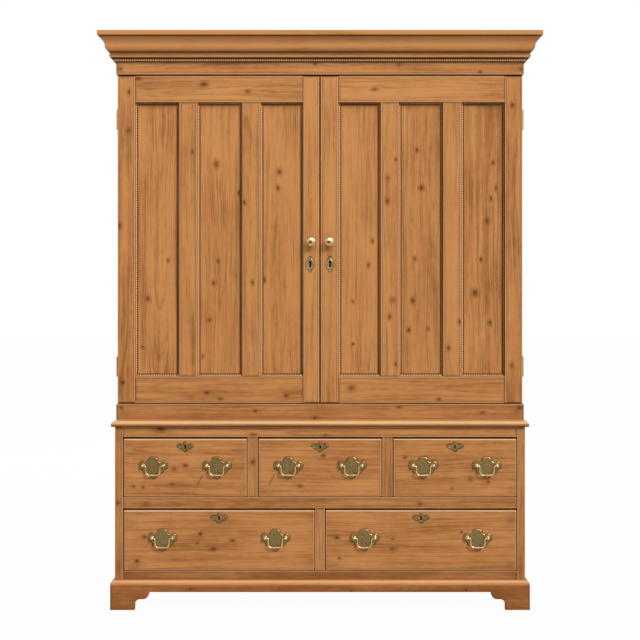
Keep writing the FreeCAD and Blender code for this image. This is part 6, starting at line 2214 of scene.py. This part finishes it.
def keeper_and_plates(shell, back):
    """On the left door's back: the keeper for the lock's bolt, and the upright bolts' plates and saddles."""
    low, high, hole = bolt_way()
    middle = (low + high) / 2
    half_height = KEEPER_HEIGHT / 2
    edge_x = -low[0]

    def place(flat, along):
        """Deep along Y, up Z, along X to the meeting edge."""
        return np.stack([edge_x - BOLT_TRAVEL + along, back + DOOR_LOCK_DEPTH / 2 + flat[:, 0],
                         middle[2] + flat[:, 1]], 1)

    tube(shell, rectangle(DOOR_LOCK_DEPTH / 2, half_height), hole, place, BOLT_TRAVEL)
    board(shell, *box_of(edge_x - KEEPER_WIDTH, edge_x - BOLT_TRAVEL, back, back + DOOR_LOCK_DEPTH,
                         middle[2] - half_height, middle[2] + half_height), 2, LOCK_EDGE, tint=(0, 0))
    outer = at_angles(rectangle(SADDLE[0] / 2, SADDLE[1] / 2), SADDLE_SPOKES)
    angle = np.arctan2(outer[:, 1], outer[:, 0])
    rod_hole = np.stack([np.cos(angle), np.sin(angle)], 1) * (ROD_RADIUS + BOLT_GAP)
    y = back + BOLT_PLATE[1] + SADDLE[1] / 2
    for node in ("door_left_bolt_top", "door_left_bolt_bottom"):
        rod_low, rod_high = corners(node)
        x = (rod_low[0] + rod_high[0]) / 2
        z = (rod_low[2] + rod_high[2]) / 2
        board(shell, *box_of(x - BOLT_PLATE[0] / 2, x + BOLT_PLATE[0] / 2, back, back + BOLT_PLATE[1],
                             z - BOLT_PLATE[2] / 2, z + BOLT_PLATE[2] / 2), 2, PLATE_EDGE, tint=(0, 0))
        for end in (-1, 1):
            z0 = z + end * BOLT_PLATE[2] / 2 - (SADDLE[2] if end > 0 else 0.0)

            def saddle_place(flat, up, x=x, z0=z0):
                """Across along X, deep along Y, upward."""
                return np.stack([x + flat[:, 0], y + flat[:, 1], z0 + up], 1)

            tube(shell, outer, rod_hole, saddle_place, SADDLE[2])


class PRESS_OT_stage(bpy.types.Operator):
    """Sets the floor, the soft lamps, the pale surround and the camera"""

    bl_idname = "press.stage"
    bl_label = "Stage"

    def execute(self, context):
        scene = context.scene
        scene.view_settings.view_transform = "Standard"
        size = 30.0
        floor = sheet("floor", [(-size, -size, 0), (size, -size, 0), (size, size, 0), (-size, size, 0)],
                      floor_material())
        self.dark_card()
        self.world(scene)
        self.lamp("upper_lamp", place=(-0.4, -3.4, 4.6), target=(0.0, -0.25, 1.3), size=1.8, power=62.0)
        self.lamp("back_lamp", place=(-1.0, 5.5, 3.6), target=(0.0, 0.0, 1.2), size=3.0, power=120.0)
        self.window(scene)
        self.camera(scene)
        return {"FINISHED"}

    def dark_card(self):
        """A grey card before the doors that only mirrors see, so that the knobs have a darker side."""
        material, b, shader = new_material("card_grey")
        cloth = b.noise(b.own_place(), detail=1.0)
        b.feed(shader.inputs["Base Color"], b.mix(cloth, (0.30, 0.27, 0.20, 1), (0.40, 0.36, 0.28, 1)))
        b.feed(shader.inputs["Roughness"], 1.0)
        card = sheet("dark_card", [(-1.6, -1.2, 0.7), (0.3, -1.2, 0.7), (0.3, -1.2, 1.7), (-1.6, -1.2, 1.7)],
                     material)
        card.visible_camera = False
        card.visible_diffuse = False
        card.visible_shadow = False
        card.visible_transmission = False

    def world(self, scene):
        """White to the camera and to mirrors, and a softer light on everything else."""
        world = bpy.data.worlds.new("pale_surround")
        world.use_nodes = True
        b = Bench(world.node_tree)
        background = world.node_tree.nodes["Background"]
        rays = b.node("ShaderNodeLightPath").outputs
        shown = b.sum("MAXIMUM", rays["Is Camera Ray"], rays["Is Transmission Ray"])
        shown = b.sum("MAXIMUM", shown, rays["Is Glossy Ray"])
        b.feed(background.inputs["Color"], (1.0, 1.0, 1.0, 1.0))
        b.feed(background.inputs["Strength"], b.ramp(shown, 0.0, 1.0, 0.13, 1.0))
        scene.world = world

    def lamp(self, name, place, target, size, power):
        """A square soft lamp turned to a target."""
        data = bpy.data.lights.new(name, "AREA")
        data.shape = "SQUARE"
        data.size = size
        data.energy = power
        lamp = bpy.data.objects.new(name, data)
        bpy.context.scene.collection.objects.link(lamp)
        lamp.location = place
        offset = np.array(target) - np.array(place)
        flat = math.hypot(offset[0], offset[1])
        lamp.rotation_euler = (math.atan2(flat, -offset[2]), 0.0, math.atan2(-offset[0], offset[1]))

    def window(self, scene):
        """Soft even light from the upper right in front, as from a wide window."""
        data = bpy.data.lights.new("window_light", "SUN")
        data.energy = 2.05
        data.angle = math.radians(17.0)
        lamp = bpy.data.objects.new("window_light", data)
        scene.collection.objects.link(lamp)
        lamp.rotation_euler = (math.radians(53.0), 0.0, math.radians(39.0))

    def camera(self, scene):
        """The photograph's own view: level, square on, a little above half the press's height."""
        data = bpy.data.cameras.new("photo_camera")
        data.sensor_width = SENSOR
        data.lens = SENSOR * CAMERA_DISTANCE / (PIXEL_AT_CHEST * PHOTO_SIZE)
        data.shift_y = (MIDDLE_HEIGHT - CAMERA_HEIGHT) / (PIXEL_AT_CHEST * PHOTO_SIZE)
        camera = bpy.data.objects.new("photo_camera", data)
        scene.collection.objects.link(camera)
        camera.location = (0.0, camera_y(), CAMERA_HEIGHT)
        camera.rotation_euler = (math.pi / 2, 0.0, 0.0)
        scene.camera = camera


def sheet(name, points, material):
    """A flat four-cornered sheet."""
    mesh = bpy.data.meshes.new(name)
    mesh.from_pydata(points, [], [(0, 1, 2, 3)])
    mesh.materials.append(material)
    found = bpy.data.objects.new(name, mesh)
    bpy.context.scene.collection.objects.link(found)
    return found


def floor_material():
    """A pale floor that meets the white surround, with a faint trace of the shadow on it."""
    material, b, shader = new_material("pale_floor")
    mottle = b.noise(b.own_place(), detail=1.0)
    b.feed(shader.inputs["Base Color"], b.mix(mottle, (0.80, 0.80, 0.80, 1), (0.82, 0.82, 0.82, 1)))
    b.feed(shader.inputs["Roughness"], 0.9)
    glow = b.node("ShaderNodeEmission", (1, 1, 1, 1), 1.0)
    seen = b.ramp(b.node("ShaderNodeLightPath").outputs["Is Camera Ray"], 0.0, 1.0, 0.0, 0.97)
    blend = b.node("ShaderNodeMixShader", seen, shader.outputs[0], glow.outputs[0])
    b.feed(material.node_tree.nodes["Material Output"].inputs["Surface"], blend.outputs[0])
    return material


class PRESS_PT_panel(bpy.types.Panel):
    """Lists the press's settings and its pieces"""

    bl_idname = "PRESS_PT_panel"
    bl_label = "Linen Press"
    bl_space_type = "VIEW_3D"
    bl_region_type = "UI"
    bl_category = "Linen Press"

    def draw(self, context):
        """Sizes, colours, then a button for each piece."""
        column = self.layout.column(align=True)
        for group in (context.scene.press_sizes, context.scene.press_colours):
            for label in group.__annotations__:
                column.prop(group, label)
        for operator in OPERATORS:
            column.operator(operator.bl_idname)


OPERATORS = (
    PRESS_OT_finishes,
    PRESS_OT_cornice,
    PRESS_OT_cupboard,
    PRESS_OT_doors,
    PRESS_OT_chest,
    PRESS_OT_plinth,
    PRESS_OT_drawers,
    PRESS_OT_handles,
    PRESS_OT_door_brasses,
    PRESS_OT_stage,
)
CLASSES = (PressSizes, PressColours) + OPERATORS + (PRESS_PT_panel,)


def register():
    """Registers the classes and hangs the settings on the scene."""
    for item in CLASSES:
        bpy.utils.register_class(item)
    bpy.types.Scene.press_sizes = bpy.props.PointerProperty(type=PressSizes)
    bpy.types.Scene.press_colours = bpy.props.PointerProperty(type=PressColours)


def unregister():
    """Takes the settings and the classes away again."""
    del bpy.types.Scene.press_colours
    del bpy.types.Scene.press_sizes
    for item in reversed(CLASSES):
        bpy.utils.unregister_class(item)


def main():
    """Builds the press piece by piece."""
    register()
    bpy.ops.press.finishes()
    bpy.ops.press.cornice()
    bpy.ops.press.cupboard()
    bpy.ops.press.doors()
    bpy.ops.press.chest()
    bpy.ops.press.plinth()
    bpy.ops.press.drawers()
    bpy.ops.press.handles()
    bpy.ops.press.door_brasses()
    bpy.ops.press.stage()


if __name__ == "__main__":
    main()
